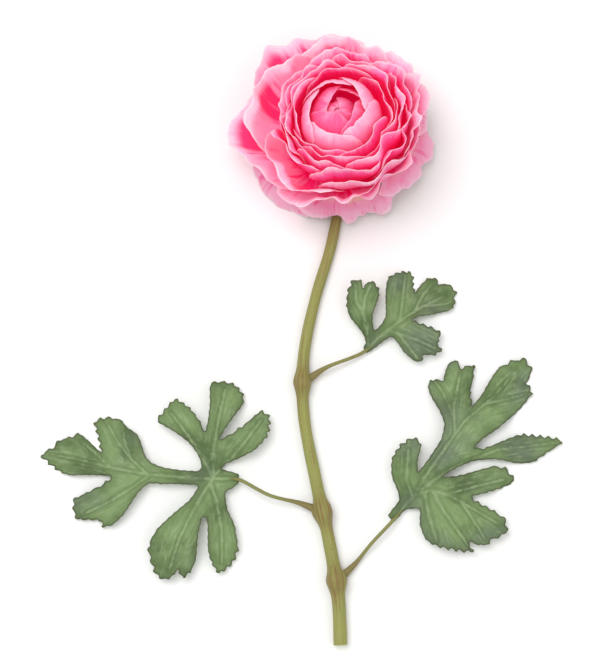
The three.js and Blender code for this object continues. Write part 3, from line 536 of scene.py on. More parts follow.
def stem_material(name, green, pale, brown, brown_amount):
    g = Graph(name)
    l, a, cut = g.attr("a_len"), g.attr("a_ang"), g.attr("a_cut")
    red = g.attr("a_red")
    long = g.noise(g.vec(g.math("MULTIPLY", a, 5.0), g.math("MULTIPLY", l, 0.035), 1.0), 1.0, 4.0, 0.6)
    hair = g.noise(g.vec(g.math("MULTIPLY", a, 26.0), g.math("MULTIPLY", l, 0.12), 4.0), 1.0, 3.0, 0.6)
    spots = g.noise(g.coords(), 420.0, 4.0, 0.6)
    c = g.mix(g.step(long, 0.35, 0.65), green, pale)
    c = g.mix(g.math("MULTIPLY", g.step(hair, 0.45, 0.75), 0.30), c, pale)
    m = g.math("MULTIPLY", g.step(g.math("MULTIPLY_ADD", red, 0.30, long), 0.52, 0.76), brown_amount)
    c = g.mix(m, c, brown)
    c = g.mix(g.math("MULTIPLY", g.step(spots, 0.60, 0.72), 0.35), c, brown)
    pith = g.mix(g.step(spots, 0.3, 0.7), lin(206, 208, 150), lin(186, 192, 120))
    c = g.mix(cut, c, pith)
    g.put(g.bsdf.inputs["Base Color"], c)
    g.put(g.bsdf.inputs["Roughness"], g.math("MULTIPLY_ADD", hair, 0.25, 0.36))
    g.bsdf.inputs["Specular IOR Level"].default_value = 0.4
    g.bsdf.inputs["Subsurface Weight"].default_value = 0.05
    g.bsdf.inputs["Subsurface Scale"].default_value = 0.001
    nrm = g.bump(hair, 0.45, 0.0004)
    nrm = g.bump(spots, 0.2, 0.0002, nrm)
    g.put(g.bsdf.inputs["Normal"], nrm)
    return g.mat


STEM = stem_material("stem_green", lin(136, 142, 70), lin(164, 168, 92), lin(118, 76, 46), 0.75)
STALK = stem_material("stalk_green", lin(128, 140, 76), lin(156, 166, 98), lin(118, 80, 52), 0.6)
SEPAL = stem_material("sepal_green", lin(130, 144, 68), lin(172, 178, 92), lin(146, 108, 66), 0.35)

# ------------------------------------------------------------------ bloom
for ring in RINGS:
    for k in range(ring["n"]):
        petal(ring, k, materials)

# Receptacle: a turned cone with shallow scars where the petals stand.
RECEPTACLE = [(0.0, 7.6), (0.9, 7.3), (3.1, 4.1), (4.9, 1.5), (6.1, -1.0), (6.4, -2.4), (6.0, -4.0), (4.6, -6.0), (3.0, -6.6), (0.0, -6.6)]


def receptacle():
    pts = np.array(RECEPTACLE)
    seg = np.linspace(0, len(pts) - 1, 46)
    i = np.clip(seg.astype(int), 0, len(pts) - 2)
    f = (seg - i)[:, None]
    prof = pts[i] * (1 - f) + pts[i + 1] * f
    for _ in range(2):
        prof[1:-1] = 0.25 * prof[:-2] + 0.5 * prof[1:-1] + 0.25 * prof[2:]
    n = 48
    verts, attrs = [], dict(a_len=[], a_ang=[], a_cut=[], a_red=[])
    for j, (r, w) in enumerate(prof[1:-1]):
        for q in range(n):
            a = 2 * math.pi * q / n
            rr = max(0.05, r - 0.12 * (0.5 + 0.5 * math.cos(5 * a + 2.4 * j)) * min(1, r / 4))
            verts.append(place(rr, a, w))
            for key, val in zip(attrs, (j * 0.6, a, 0.0, 0.2)):
                attrs[key].append(val)
    m = len(prof) - 2
    faces = []
    for j in range(m - 1):
        for q in range(n):
            a, b = j * n + q, j * n + (q + 1) % n
            faces.append((a, a + n, b + n, b))
    top = len(verts)
    verts += [place(0.0, 0.0, prof[0][1]), place(0.0, 0.0, prof[-1][1])]
    for key, val in zip(attrs, (0.0, 0.0, 0.0, 0.2)):
        attrs[key] += [val, val]
    for q in range(n):
        faces.append((top, q, (q + 1) % n))
        o = (m - 1) * n
        faces.append((top + 1, o + (q + 1) % n, o + q))
    return make_object("vis_receptacle", np.array([v.reshape(3) for v in verts]), faces, attrs, SEPAL, "receptacle")


receptacle()

# Sepals: pointed, ribbed, spread under the petals.
SEPAL_PATH = np.array([[5.6, -5.9], [9.0, -8.2], [13.0, -9.6], [17.5, -12.6]])


def sepal(k):
    nu, nv = 16, 30
    s, v = np.meshgrid(np.linspace(-1, 1, nu + 1), np.linspace(0, 1, nv + 1))
    centre = math.radians(18 + 72 * k + 8 * (rnd(k + 40) - 0.5))
    u = 1 - v
    ln = 0.93 + 0.14 * rnd(k + 50)
    b = (u * u * u, 3 * u * u * v, 3 * u * v * v, v * v * v)
    r = sum(b[i] * SEPAL_PATH[i, 0] for i in range(4))
    w = sum(b[i] * SEPAL_PATH[i, 1] for i in range(4))
    width = 0.35 + 2.9 * np.sin(math.pi * np.clip(0.16 + 0.8 * v, 0, 1)) ** 0.9
    across = s * width
    x = SEPAL_PATH[0, 0] + (r - SEPAL_PATH[0, 0]) * ln
    P = place(np.hypot(x, across), centre + np.arctan2(across, x),
              w + 0.06 * across ** 2 + 0.05 * np.sin(9 * s) * smooth(0, 0.3, v) + 0.12 * np.sin(7 * v + k))
    thick = 0.25 + 0.45 * (1 - np.abs(s)) * (1 - 0.6 * v)
    verts, faces, _ = sheet_mesh(P, thick)
    both = lambda q: np.concatenate([q.ravel(), q.ravel()])
    attrs = dict(a_len=both(v * 14), a_ang=both(s * 0.8 + k), a_cut=np.zeros(2 * s.size), a_red=both(0.5 * v))
    return make_object(f"vis_sepal_{'abcde'[k]}", verts, faces, attrs, SEPAL, f"sepal_{'abcde'[k]}")


for k in range(5):
    sepal(k)

# ------------------------------------------------------------------ stem
STEM_PLAN = [(-7, -46), (-14, -70), (-19, -96), (-19, -122), (-14, -150), (-8, -178), (-4, -202), (-3, -224)]
NODES = [(-108, 1.5), (-166, 1.7), (-196, 1.9)]


def catmull(points, n):
    pts = np.array(points, float)
    m = len(pts) - 1
    out = []
    for i in range(n + 1):
        x = i / n * m
        k = min(m - 1, int(x))
        u = x - k
        p0, p1, p2, p3 = pts[max(0, k - 1)], pts[k], pts[k + 1], pts[min(m, k + 2)]
        out.append(0.5 * (2 * p1 + (p2 - p0) * u + (2 * p0 - 5 * p1 + 4 * p2 - p3) * u ** 2
                          + (3 * p1 - p0 - 3 * p2 + p3) * u ** 3))
    return np.array(out)


def stem_radius(y, z):
    along = np.clip((-y - 20) / 200, 0, 1)
    r = STEM_RADIUS + (STEM_END_RADIUS - STEM_RADIUS) * along
    for ny, h in NODES:
        r = r + h * np.exp(-((y - ny) / 4.2) ** 2)
    return r + (STEM_NECK_RADIUS - STEM_RADIUS) * smooth(6, 16, z)


def stem_line():
    top = BLOOM + AXIS_W * -6.75
    foot = np.array([-2.5, -24.0])
    r = STEM_RADIUS + FLOOR_GAP
    b = np.array([top, top - AXIS_W * 11, [foot[0] + 2.2, foot[1] + 11, r], [foot[0], foot[1], r]])
    bend = []
    for i in range(40):
        t = i / 40
        u = 1 - t
        bend.append(u ** 3 * b[0] + 3 * u * u * t * b[1] + 3 * u * t * t * b[2] + t ** 3 * b[3])
    plan = catmull([foot, *STEM_PLAN], 250)
    plan = np.column_stack([plan, np.zeros(len(plan))])
    pts = np.concatenate([bend, plan])
    rad = stem_radius(pts[:, 1], pts[:, 2])
    pts[40:, 2] = rad[40:] + FLOOR_GAP
    for i in range(28, 40):
        pts[i, 2] = max(pts[i, 2], rad[i] + FLOOR_GAP)
    return pts, rad


STEM_PTS, STEM_RAD = stem_line()


def frames(pts):
    tan = np.gradient(pts, axis=0)
    tan /= np.linalg.norm(tan, axis=1, keepdims=True)
    side = np.cross([0, 0, 1.0], tan[0])
    if np.linalg.norm(side) < 0.2:
        side = np.array([1.0, 0, 0])
    out = []
    for t in tan:
        side = side - t * side.dot(t)
        side = side / np.linalg.norm(side)
        out.append((side.copy(), np.cross(t, side)))
    return tan, out


def tube_mesh(pts, rad, sides, shape=None, cap_start=True, cap_end=True, oblique=0.0):
    """A closed tube; shape(i, angle) gives a factor on the radius."""
    tan, fr = frames(pts)
    dist = np.concatenate([[0], np.cumsum(np.linalg.norm(np.diff(pts, axis=0), axis=1))])
    verts, ang, ln, cut = [], [], [], []
    n = len(pts)
    for i in range(n):
        for q in range(sides):
            a = 2 * math.pi * q / sides
            f = shape(i, a) if shape else 1.0
            p = pts[i] + fr[i][0] * rad[i] * f * math.cos(a) + fr[i][1] * rad[i] * f * math.sin(a)
            if oblique and i == n - 1:
                p = p + tan[i] * oblique * rad[i] * math.cos(a)
            verts.append(p)
            ang.append(a)
            ln.append(dist[i])
            cut.append(0.0)
    faces = []
    for i in range(n - 1):
        for q in range(sides):
            a, b = i * sides + q, i * sides + (q + 1) % sides
            faces.append((a, b, b + sides, a + sides))

    def cap(i, end):
        base = i * sides
        prev = [base + q for q in range(sides)]
        inward = -tan[i] if end else tan[i]
        for ring_i, (f, depth) in enumerate([(0.985, 0.0), (0.90, 0.10), (0.80, 0.04), (0.45, 0.12), (0.16, 0.5)]):
            cur = []
            for q in range(sides):
                v = verts[base + q]
                c = pts[i]
                p = c + (v - c) * f + inward * depth * (rad[i] / 3)
                cur.append(len(verts))
                verts.append(p)
                ang.append(ang[base + q])
                ln.append(dist[i])
                cut.append(1.0 if ring_i else 0.4)
            for q in range(sides):
                a, b = prev[q], prev[(q + 1) % sides]
                c2, d = cur[(q + 1) % sides], cur[q]
                faces.append((a, b, c2, d) if end else (b, a, d, c2))
            prev = cur
        faces.append(tuple(prev) if end else tuple(reversed(prev)))

    if cap_start:
        cap(0, False)
    else:
        faces.append(tuple(reversed(range(sides))))
    if cap_end:
        cap(n - 1, True)
    else:
        faces.append(tuple((n - 1) * sides + q for q in range(sides)))
    return np.array(verts), faces, np.array(ang), np.array(ln), np.array(cut)


def stem():
    y = STEM_PTS[:, 1]

    def shape(i, a):
        near = sum(math.exp(-((y[i] - ny) / 6.0) ** 2) for ny, _ in NODES)
        ridge = 0.022 * math.cos(7 * a + 0.012 * y[i]) + 0.012 * math.cos(13 * a - 0.02 * y[i])
        knob = near * (0.05 * math.cos(3 * a + 0.3 * y[i]) + 0.03 * math.sin(5 * a))
        swell = 0.02 * math.sin(0.11 * y[i]) + 0.015 * math.sin(0.31 * y[i] + 2 * a)
        return 1.0 + ridge + knob + swell - 0.03

    verts, faces, ang, ln, cut = tube_mesh(STEM_PTS, STEM_RAD, 36, shape)
    verts[:, 2] = np.maximum(verts[:, 2], 0.03)
    near = sum(np.exp(-((verts[:, 1] - ny) / 9.0) ** 2) for ny, _ in NODES)
    neck = np.exp(-np.maximum(0, -verts[:, 1] - 10) / 30.0)
    red = 0.22 + 0.34 * near + 0.6 * neck
    attrs = dict(a_len=ln, a_ang=ang, a_cut=cut, a_red=red)
    return make_object("vis_stem", verts, faces, attrs, STEM, "stem")


stem()

# ------------------------------------------------------------------ leaves
OUTLINE_A = [
    (12.1, -2.1), (9.6, -4.4), (6.4, -6.6), (7.4, -14.0), (10.4, -20.5), (12.0, -30.5), (9.6, -37.0),
    (4.0, -41.7), (0.6, -37.0), (-1.0, -31.5), (-1.2, -21.0), (-2.2, -17.4), (-3.8, -18.2), (-5.2, -25.0), (-6.2, -35.5),
    (-8.5, -41.0), (-11.8, -44.0), (-14.0, -40.8), (-16.4, -43.4), (-20.0, -44.6), (-23.6, -42.4), (-26.2, -35.6),
    (-26.8, -30.0), (-23.4, -23.0), (-16.6, -16.4), (-9.4, -9.8), (-5.8, -3.4),
    (-12.0, -2.9), (-20.8, -2.8), (-26.8, -2.3), (-29.2, -3.7), (-32.6, -7.6), (-38.2, -16.2), (-43.0, -20.6), (-47.4, -21.2),
    (-49.0, -18.4), (-59.2, -17.6), (-60.9, -9.4), (-54.0, -6.0), (-48.6, -3.4), (-44.2, 0.9),
    (-50.4, 1.6), (-62.6, 1.6), (-68.6, 4.4), (-75.6, 10.6), (-71.0, 14.0), (-67.4, 17.6), (-63.6, 18.4), (-59.0, 20.2),
    (-54.2, 16.6), (-49.4, 12.4), (-50.6, 19.4), (-52.0, 25.6), (-46.4, 27.6), (-40.6, 26.6), (-37.8, 23.2),
    (-32.6, 19.0), (-29.2, 10.0), (-26.2, 6.6), (-20.8, 4.4), (-13.0, 3.5), (-5.6, 3.4),
    (-4.4, 6.2), (-6.0, 10.6), (-10.6, 16.4), (-20.6, 23.0), (-24.2, 25.6), (-20.6, 30.6), (-15.8, 34.6), (-9.0, 30.0),
    (-4.6, 24.0), (-3.4, 20.6), (-1.9, 23.4), (-0.8, 33.0), (-0.6, 41.6), (4.2, 43.4), (9.8, 42.4), (13.6, 38.0),
    (13.9, 33.4), (9.8, 27.0), (5.6, 21.0), (3.6, 17.2), (8.6, 19.4), (14.0, 23.4), (21.4, 29.8), (25.6, 27.2),
    (25.0, 19.0), (19.4, 12.2), (13.0, 9.0), (6.6, 6.6), (4.6, 4.4), (8.0, 3.2), (12.1, 1.8),
]
OUTLINE_B = [
    (-6.9, -10.0), (-2.6, -4.8), (3.2, -4.2), (3.6, -10.6), (6.2, -16.4), (10.4, -18.8), (14.0, -19.8), (20.2, -20.4),
    (25.8, -20.2), (24.2, -16.6), (30.4, -17.6), (34.6, -14.4), (39.4, -11.8), (38.8, -6.2), (32.4, -2.0), (27.4, 0.2),
    (24.4, 2.6), (30.6, 4.6), (37.4, 7.6), (42.0, 10.8), (38.6, 15.2), (33.0, 15.8), (26.0, 13.6), (17.6, 10.6), (12.0, 9.8),
    (18.0, 14.2), (25.0, 17.8), (33.2, 19.0), (42.6, 18.2), (49.6, 19.2), (54.0, 22.6), (61.4, 28.6), (54.0, 30.2), (44.2, 30.4),
    (36.4, 27.0), (29.6, 23.6), (24.4, 22.6),
    (28.0, 27.0), (34.8, 32.6), (42.6, 40.8), (47.6, 48.2), (45.6, 52.8), (47.2, 58.2), (43.8, 62.6), (37.6, 60.8), (32.6, 57.4),
    (29.2, 51.4), (26.2, 45.4), (22.8, 41.2), (21.6, 46.8), (22.6, 53.0), (22.4, 58.6), (17.6, 56.8), (14.2, 60.6), (11.0, 56.2),
    (9.8, 51.2), (4.8, 51.2), (4.0, 47.4), (5.8, 43.0), (9.2, 37.6), (11.4, 32.2), (10.4, 25.6), (7.2, 19.6), (4.0, 14.4), (1.6, 11.4),
    (1.2, 16.0), (2.2, 22.4), (-1.4, 25.2), (-6.4, 21.8), (-9.6, 15.6), (-9.2, 8.6), (-6.4, 3.0), (-5.6, -1.2), (-9.6, -7.6),
]
OUTLINE_C = [
    (1.5, -2.0), (2.0, 3.6), (2.1, 9.0), (2.8, 13.2), (7.0, 13.6), (13.6, 12.8), (20.4, 14.4), (22.6, 17.0), (21.2, 20.0), (24.0, 24.0),
    (24.8, 28.6), (20.2, 29.6), (18.6, 33.0), (15.8, 34.2), (10.6, 31.6), (5.6, 28.4), (2.6, 27.4),
    (3.6, 31.4), (6.4, 36.6), (8.2, 41.4), (10.4, 46.0), (9.4, 50.6), (7.0, 51.8), (4.2, 55.4), (0.4, 55.2), (-2.6, 54.0), (-3.6, 50.8),
    (-6.4, 51.4), (-9.0, 50.0), (-10.2, 47.4), (-9.8, 42.6), (-8.8, 38.2), (-12.6, 40.2), (-16.2, 42.8), (-19.0, 42.8), (-21.4, 39.0),
    (-22.6, 33.2), (-21.6, 29.4), (-17.4, 25.2), (-12.4, 21.2), (-7.4, 17.2), (-5.6, 13.0), (-5.2, 8.4),
    (-8.2, 9.4), (-12.2, 12.6), (-15.4, 17.6), (-18.6, 22.0), (-23.4, 23.6), (-27.0, 21.6), (-26.0, 17.4), (-30.2, 18.4), (-32.4, 14.8),
    (-29.4, 9.4), (-24.0, 4.6), (-18.6, 2.4), (-12.6, 2.4), (-7.4, 2.4), (-3.4, 1.0), (-1.6, -2.0),
]
VEINS_A = [
    [(12, 0), (6, 0), (0, 0), (-14, 0.4), (-28, 1.6), (-45, 5), (-60, 9), (-71, 11)],
    [(-28, 1.6), (-36, 9), (-42, 17), (-46, 24)], [(-27, 1.4), (-36, -5), (-46, -11), (-55, -15)],
    [(1, 0), (-2, -4), (-8, -15), (-14, -28), (-18, -41)], [(0, -3), (2.5, -10), (5, -24), (5, -37)],
    [(1, 0), (-2, 6), (-9, 17), (-18, 29)], [(1, 1), (0.8, 12), (3.5, 28), (6, 40)], [(2, 2), (8, 8), (15, 16), (22, 26)],
    [(-36, 9), (-39, 18), (-40, 25)], [(-45, 5), (-52, 12), (-58, 17)],
]
VEINS_B = [
    [(-7, -9), (-3, -3), (1, 2), (8, 4), (16, 2), (24, -2), (36, -8)], [(14, 2.6), (26, 7), (38, 11)],
    [(8, 4), (13, -4), (19, -12), (24, -18)], [(5, 3), (7, -6), (11, -17)], [(20, 0), (26, -8), (31, -15)],
    [(1, 2), (10, 9.6), (20, 16), (34, 23), (48, 26), (58, 28)],
    [(1, 2), (5, 10), (10, 18), (16, 28), (20, 34), (31, 45), (41, 58)], [(16, 28), (15, 40), (17, 54)],
    [(15, 36), (10, 46), (7, 50)], [(0, 1), (-3, 8), (-3, 20)], [(28, 42), (37, 45), (45, 48)],
]
VEINS_C = [
    [(0, -2), (-1, 8), (-1, 22), (0, 36), (3, 52)], [(-1, 14), (7, 19), (14, 23), (22, 27)], [(3, 17), (12, 16.5), (20, 16.5)],
    [(-1, 22), (-8, 29), (-14, 35), (-19, 40)], [(-1, 32), (-5, 41), (-7, 49)], [(1, 38), (6, 46), (7, 50)],
    [(-2, 1), (-8, 5.6), (-16, 9), (-22, 15), (-25, 21)], [(-16, 9), (-23, 10), (-30, 15)],
]
LEAVES = [
    dict(name="leaf_left", outline=OUTLINE_A, veins=VEINS_A, hub=(-60, -151), turn=0, scale=1.0,
         stalk=[(8.0, 0.0), (13.5, -1.2), (26.0, -8.0)], node=1, side=-1, hump=6.5, reach=62, seed=1.0),
    dict(name="leaf_right", outline=OUTLINE_B, veins=VEINS_B, hub=(29, -160), turn=-4, scale=1.06,
         stalk=[(-4.0, -5.0), (-9.0, -11.5), (-16.0, -20.0)], node=2, side=1, hump=6.0, reach=60, seed=2.0),
    dict(name="leaf_upper", outline=OUTLINE_C, veins=VEINS_C, hub=(10, -92), turn=-52, scale=0.86,
         stalk=[(0.0, 2.0), (0.0, -4.0), (-1.5, -11.0)], node=0, side=1, hump=5.5, reach=50, seed=3.0),
]


def stem_at(y):
    pts = STEM_PTS[40:]
    i = int(np.argmin(np.abs(pts[:, 1] - y)))
    i = min(max(i, 1), len(pts) - 2)
    d = pts[i - 1, :2] - pts[i + 1, :2]
    return np.array([pts[i, 0], y]), d / np.linalg.norm(d)


def stalk_route(leaf):
    c, t = stem_at(NODES[leaf["node"]][0])
    n = np.array([t[1], -t[0]]) * leaf["side"]
    a = -math.radians(leaf["turn"])
    rot = np.array([[math.cos(a), -math.sin(a)], [math.sin(a), math.cos(a)]])
    local = lambda p: rot @ ((p - np.array(leaf["hub"])) / leaf["scale"])
    return [*leaf["stalk"], local(c + n * 9 + t * 6), local(c + n * 0.5)]


def leaf_height(leaf, end, x, y):
    """As the frame's leaves stand; x and y are already scaled."""
    d = np.hypot(x, y)
    a = np.arctan2(y, x)
    q = np.clip(d / leaf["reach"], 0, 1.2)
    wave = 1.5 * np.sin(3 * a + leaf["seed"] * 2.1) + 1.1 * np.sin(5 * a + leaf["seed"] * 4.7)
    arch = leaf["hump"] * (1 - q * q) * (0.35 + 0.65 * smooth(0.0, 0.45, q)) + wave * smooth(0.15, 0.7, q)
    h = arch - 0.3
    low = FLOOR_GAP + (h + np.sqrt(h * h + 0.5)) / 2 - 0.05
    reach = math.hypot(*end)
    along = np.where((x * end[0] + y * end[1]) / np.maximum(d, 1e-6) / reach > 0.9, d / reach, 0.0)
    return low * (1 - smooth(0.55, 0.95, along)) + 1.3 * smooth(0.6, 1.0, along)


def segments(lines):
    a, b = [], []
    for line in lines:
        for p, q in zip(line[:-1], line[1:]):
            a.append(p)
            b.append(q)
    return np.array(a, float), np.array(b, float)


def seg_dist(P, a, b):
    """Distance from points P (n, 2) to the nearest of the segments."""
    best = np.full(len(P), 1e9)
    for p, q in zip(a, b):
        d = q - p
        u = np.clip(((P - p) @ d) / max(d @ d, 1e-9), 0, 1)
        best = np.minimum(best, np.linalg.norm(P - (p + u[:, None] * d), axis=1))
    return best


def inside(P, poly):
    x, y = P[:, 0], P[:, 1]
    res = np.zeros(len(P), bool)
    for (x0, y0), (x1, y1) in zip(poly, np.roll(poly, -1, axis=0)):
        if y0 == y1:
            continue
        hit = ((y0 > y) != (y1 > y)) & (x < (x1 - x0) * (y - y0) / (y1 - y0) + x0)
        res ^= hit
    return res


def toothed(outline, seed):
    """A smooth closed edge through the outline, with small teeth on the outer margins."""
    pts = np.array(outline, float)
    m = len(pts)
    out = []
    for k in range(m):
        p0, p1, p2, p3 = pts[k - 1], pts[k], pts[(k + 1) % m], pts[(k + 2) % m]
        steps = max(2, int(np.linalg.norm(p2 - p1) / 0.55))
        tight = 0.62
        for i in range(steps):
            u = i / steps
            m1, m2 = tight * (p2 - p0) / 2, tight * (p3 - p1) / 2
            h = np.array([2 * u ** 3 - 3 * u * u + 1, u ** 3 - 2 * u * u + u, -2 * u ** 3 + 3 * u * u, u ** 3 - u * u])
            out.append(h[0] * p1 + h[1] * m1 + h[2] * p2 + h[3] * m2)
    out = np.array(out)
    nxt, prv = np.roll(out, -1, 0), np.roll(out, 1, 0)
    tan = nxt - prv
    tan /= np.maximum(np.linalg.norm(tan, axis=1, keepdims=True), 1e-9)
    nrm = np.column_stack([tan[:, 1], -tan[:, 0]])
    area = 0.5 * np.sum(out[:, 0] * nxt[:, 1] - nxt[:, 0] * out[:, 1])
    if area < 0:
        nrm = -nrm
    radial = out / np.maximum(np.linalg.norm(out, axis=1, keepdims=True), 1e-9)
    dist = np.linalg.norm(out, axis=1)
    facing = smooth(0.05, 0.6, np.sum(radial * nrm, axis=1)) * smooth(14, 26, dist)
    arc = np.concatenate([[0], np.cumsum(np.linalg.norm(np.diff(out, axis=0), axis=1))])
    ph = (arc / 4.1 + 0.5 * np.sin(arc / 9 + seed)) % 1.0
    tooth = np.where(ph < 0.7, ph / 0.7, (1 - ph) / 0.3)
    out = out + nrm * (facing * (1.35 * tooth - 0.5) + 0.10 * np.sin(arc * 1.9 + seed))[:, None]
    return out


def leaf(spec):
    sc = spec["scale"]
    edge = toothed(spec["outline"], spec["seed"]) * sc
    lo, hi = edge.min(0), edge.max(0)
    step = 0.85
    gx = np.arange(lo[0], hi[0], step)
    gy = np.arange(lo[1], hi[1], step * 0.866)
    X, Y = np.meshgrid(gx, gy)
    X = X + (np.arange(len(gy)) % 2)[:, None] * step * 0.5
    P = np.column_stack([X.ravel(), Y.ravel()])
    P = P[inside(P, edge)]
    nxt = np.roll(edge, -1, 0)
    P = P[seg_dist(P, edge, nxt) > 0.42 * step]
    n = len(edge)
    allp = [Vector(p) for p in edge] + [Vector(p) for p in P]
    res = delaunay_2d_cdt(allp, [], [list(range(n))], 1, 1e-5)
    V = np.array([tuple(v) for v in res[0]])
    F = [tuple(f) for f in res[2]]
    # veins
    veins = [np.array(v, float) * sc for v in spec["veins"]]
    ma, mb = segments(veins)
    # The veins carried on past their tips, so that streaks beside them run out to the margin.
    long_a, long_b = segments([np.vstack([v, v[-1] + 16.0 * (v[-1] - v[-2]) / np.linalg.norm(v[-1] - v[-2])]) for v in veins])
    side_lines = []
    for q, v in enumerate(veins):
        d = np.concatenate([[0], np.cumsum(np.linalg.norm(np.diff(v, axis=0), axis=1))])
        pos = 7.0
        flip = 1
        while pos < d[-1] - 2.5:
            i = min(int(np.searchsorted(d, pos)) - 1, len(v) - 2)
            f = (pos - d[i]) / (d[i + 1] - d[i])
            p = v[i] + (v[i + 1] - v[i]) * f
            t = (v[i + 1] - v[i]) / np.linalg.norm(v[i + 1] - v[i])
            ang = math.radians(38 + 8 * rnd(q * 9 + pos)) * flip
            rot = np.array([[math.cos(ang), -math.sin(ang)], [math.sin(ang), math.cos(ang)]])
            dirn = rot @ t
            bend = rot @ dirn * 0.0 + t
            side_lines.append([p, p + dirn * 4.5, p + dirn * 8.0 + bend * 1.5])
            flip = -flip
            pos += 2.9
    sa, sb = segments(side_lines)
    dm = seg_dist(V, ma, mb)
    dl = seg_dist(V, long_a, long_b)
    ds = seg_dist(V, sa, sb)
    de = seg_dist(V, edge, nxt)
    hubd = np.linalg.norm(V, axis=1)
    wide = 0.68 - 0.0062 * hubd
    vein = np.clip(np.exp(-(dm / np.maximum(wide, 0.24)) ** 2) + 0.45 * np.exp(-(ds / 0.42) ** 2), 0, 1)
    route = np.array(stalk_route(spec))
    end = route[-1] * sc
    z = leaf_height(spec, end, V[:, 0], V[:, 1])
    # Lobes keel along their veins, margins wave, and the blade swells between side veins.
    z = z + 0.17 * np.minimum(dm, 7.0) * smooth(0, 10, hubd)
    z = z + 1.05 * np.exp(-de / 2.6) * np.sin(V[:, 0] / 3.1 + 1.7 * np.sin(V[:, 1] / 6.0) + spec["seed"]) * smooth(8, 20, hubd)
    z = z + 0.34 * (1 - np.exp(-(ds / 1.2) ** 2)) * smooth(0.3, 2.0, dm)
    z = z - 0.42 * np.exp(-(dm / 0.7) ** 2)
    z = z + 0.35 * np.sin(V[:, 0] / 7.0 + V[:, 1] / 9.0 + spec["seed"] * 3)
    z = np.maximum(z, 0.05 + 0.25 * (1 - np.exp(-np.maximum(z, 0))))
    body = 0.26 + 0.22 * smooth(0, 1.6, de) + 0.35 * np.exp(-(dm / 0.8) ** 2)
    turn = math.radians(spec["turn"])
    R = np.array([[math.cos(turn), -math.sin(turn)], [math.sin(turn), math.cos(turn)]])
    world = V @ R.T + np.array(spec["hub"])
    top = np.column_stack([world, z + body])
    low = np.column_stack([world, z])
    m = len(V)
    ids = list(range(m))
    faces = [f for f in F] + [tuple(m + i for i in reversed(f)) for f in F]
    # rim: boundary edges of the triangulation
    count = {}
    for f in F:
        for a, b in zip(f, f[1:] + f[:1]):
            count[(a, b)] = 1
    for (a, b) in list(count):
        if (b, a) not in count:
            faces.append((b, a, m + a, m + b))
    verts = np.concatenate([top, low])
    two = lambda x: np.concatenate([x, x])
    attrs = dict(a_side=np.concatenate([np.ones(m), np.zeros(m)]), a_vein=two(vein), a_edge=two(de * 0.1),
                 a_across=two(dm * 0.1), a_lane=two(dl * 0.1), a_out=two(hubd * 0.1))
    # stalk, which runs on as a rib under the blade
    line = catmull([(p[0], p[1]) for p in route], 90) * sc
    u = np.linspace(0, 1, len(line))
    rad = (0.80 + 1.25 * smooth(0.55, 1.0, u) ** 1.5) * (0.25 + 0.75 * smooth(0.0, 0.22, u))
    zz = leaf_height(spec, end, line[:, 0], line[:, 1])
    low_in = zz + rad + 0.1
    worldl = line @ R.T + np.array(spec["hub"])
    pts = np.column_stack([worldl, low_in])

    def shape(i, a):
        return 1 + 0.06 * math.cos(3 * a) + 0.10 * smooth(0.8, 1.0, u[i]) * math.cos(2 * a + 0.7)

    sv, sf, ang, ln, cut = tube_mesh(pts, rad, 20, shape, cap_start=False, cap_end=False)
    sv[:, 2] = np.maximum(sv[:, 2], 0.04)
    o = len(verts)
    nb = len(sv)
    verts = np.concatenate([verts, sv])
    keys = dict(a_side=np.ones(nb), a_vein=np.full(nb, 0.5), a_edge=np.ones(nb), a_across=np.zeros(nb), a_lane=np.zeros(nb), a_out=np.zeros(nb))
    attrs = {k2: np.concatenate([v2, keys[k2]]) for k2, v2 in attrs.items()}
    total = len(verts)
    extra = dict(a_len=np.zeros(total), a_ang=np.zeros(total), a_cut=np.zeros(total), a_red=np.zeros(total))
    extra["a_len"][o:] = ln
    extra["a_ang"][o:] = ang
    extra["a_red"][o:] = 0.5 + 0.5 * smooth(0.5, 0.9, ln / ln.max())
    attrs.update(extra)
    blade_faces = len(faces)
    faces = faces + [tuple(o + i for i in f) for f in sf]
    ob = make_object(f"vis_{spec['name']}", verts, faces, attrs, LEAF, spec["name"])
    ob.data.materials.append(STALK)
    for i, poly in enumerate(ob.data.polygons):
        if i >= blade_faces:
            poly.material_index = 1
    return ob


for spec in LEAVES:
    leaf(spec)

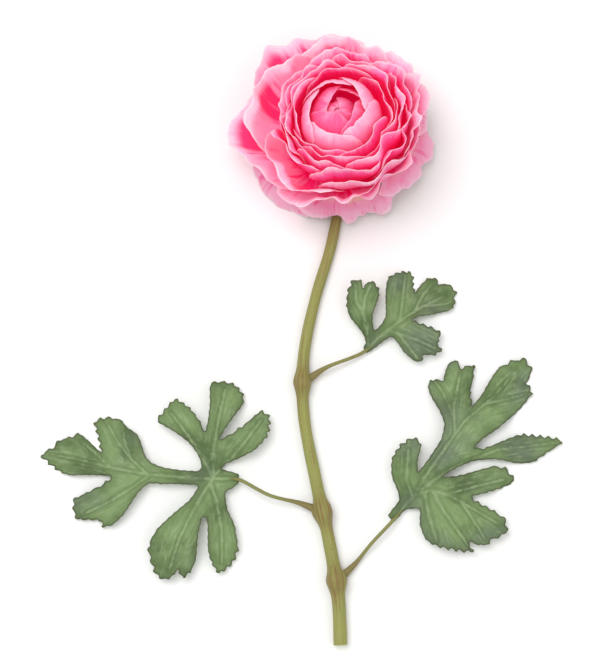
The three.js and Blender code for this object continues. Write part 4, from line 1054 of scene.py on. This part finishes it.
# ------------------------------------------------------------------ floor, lights, camera
def floor():
    me = bpy.data.meshes.new("floor")
    q = 6.0
    me.from_pydata([(-q, -q, 0), (q, -q, 0), (q, q, 0), (-q, q, 0)], [], [(0, 1, 2, 3)])
    ob = bpy.data.objects.new("floor", me)
    bpy.context.scene.collection.objects.link(ob)
    g = Graph("floor_pale")
    n = g.noise(g.coords(), 40.0, 3.0, 0.5)
    g.put(g.bsdf.inputs["Base Color"], g.mix(n, lin(243, 243, 242), lin(247, 247, 246)))
    g.bsdf.inputs["Roughness"].default_value = 0.85
    g.bsdf.inputs["Specular IOR Level"].default_value = 0.2
    ob.data.materials.append(g.mat)


floor()


def area(name, loc, target, size, power, colour=(1, 1, 1)):
    d = bpy.data.lights.new(name, "AREA")
    d.shape = "SQUARE"
    d.size = size
    d.energy = power
    d.color = colour
    o = bpy.data.objects.new(name, d)
    bpy.context.scene.collection.objects.link(o)
    o.location = loc
    o.rotation_euler = (Vector(target) - Vector(loc)).to_track_quat("-Z", "Y").to_euler()


area("key", (-0.40, 0.22, 1.40), (0, 0.02, 0.02), 0.9, 11.0)
area("fill", (0.85, -0.45, 1.15), (0, 0, 0.02), 1.2, 2.4)
area("front", (0.0, -1.2, 0.95), (0, 0, 0.02), 1.2, 1.6)

world = bpy.data.worlds.new("studio")
bpy.context.scene.world = world
world.use_nodes = True
world.node_tree.nodes["Background"].inputs[0].default_value = (1, 1, 1, 1)
world.node_tree.nodes["Background"].inputs[1].default_value = 0.68
bpy.context.scene.view_settings.view_transform = "Standard"
bpy.context.scene.view_settings.look = "None"

cam_data = bpy.data.cameras.new("camera")
cam_data.sensor_fit = "VERTICAL"
cam_data.sensor_height = 36.0
cam_data.lens = 110.0
cam = bpy.data.objects.new("camera", cam_data)
bpy.context.scene.collection.objects.link(cam)
bpy.context.scene.camera = cam
ELEV = math.radians(78.0)
FRAME_HEIGHT = 0.296
dist = FRAME_HEIGHT / (36.0 / 110.0)
aim = Vector((0.0, 0.001, 0.012))
cam.location = aim + Vector((0, -math.cos(ELEV), math.sin(ELEV))) * dist
cam.rotation_euler = (aim - cam.location).to_track_quat("-Z", "Y").to_euler()
cam_data.clip_start = 0.01
cam_data.clip_end = 50.0
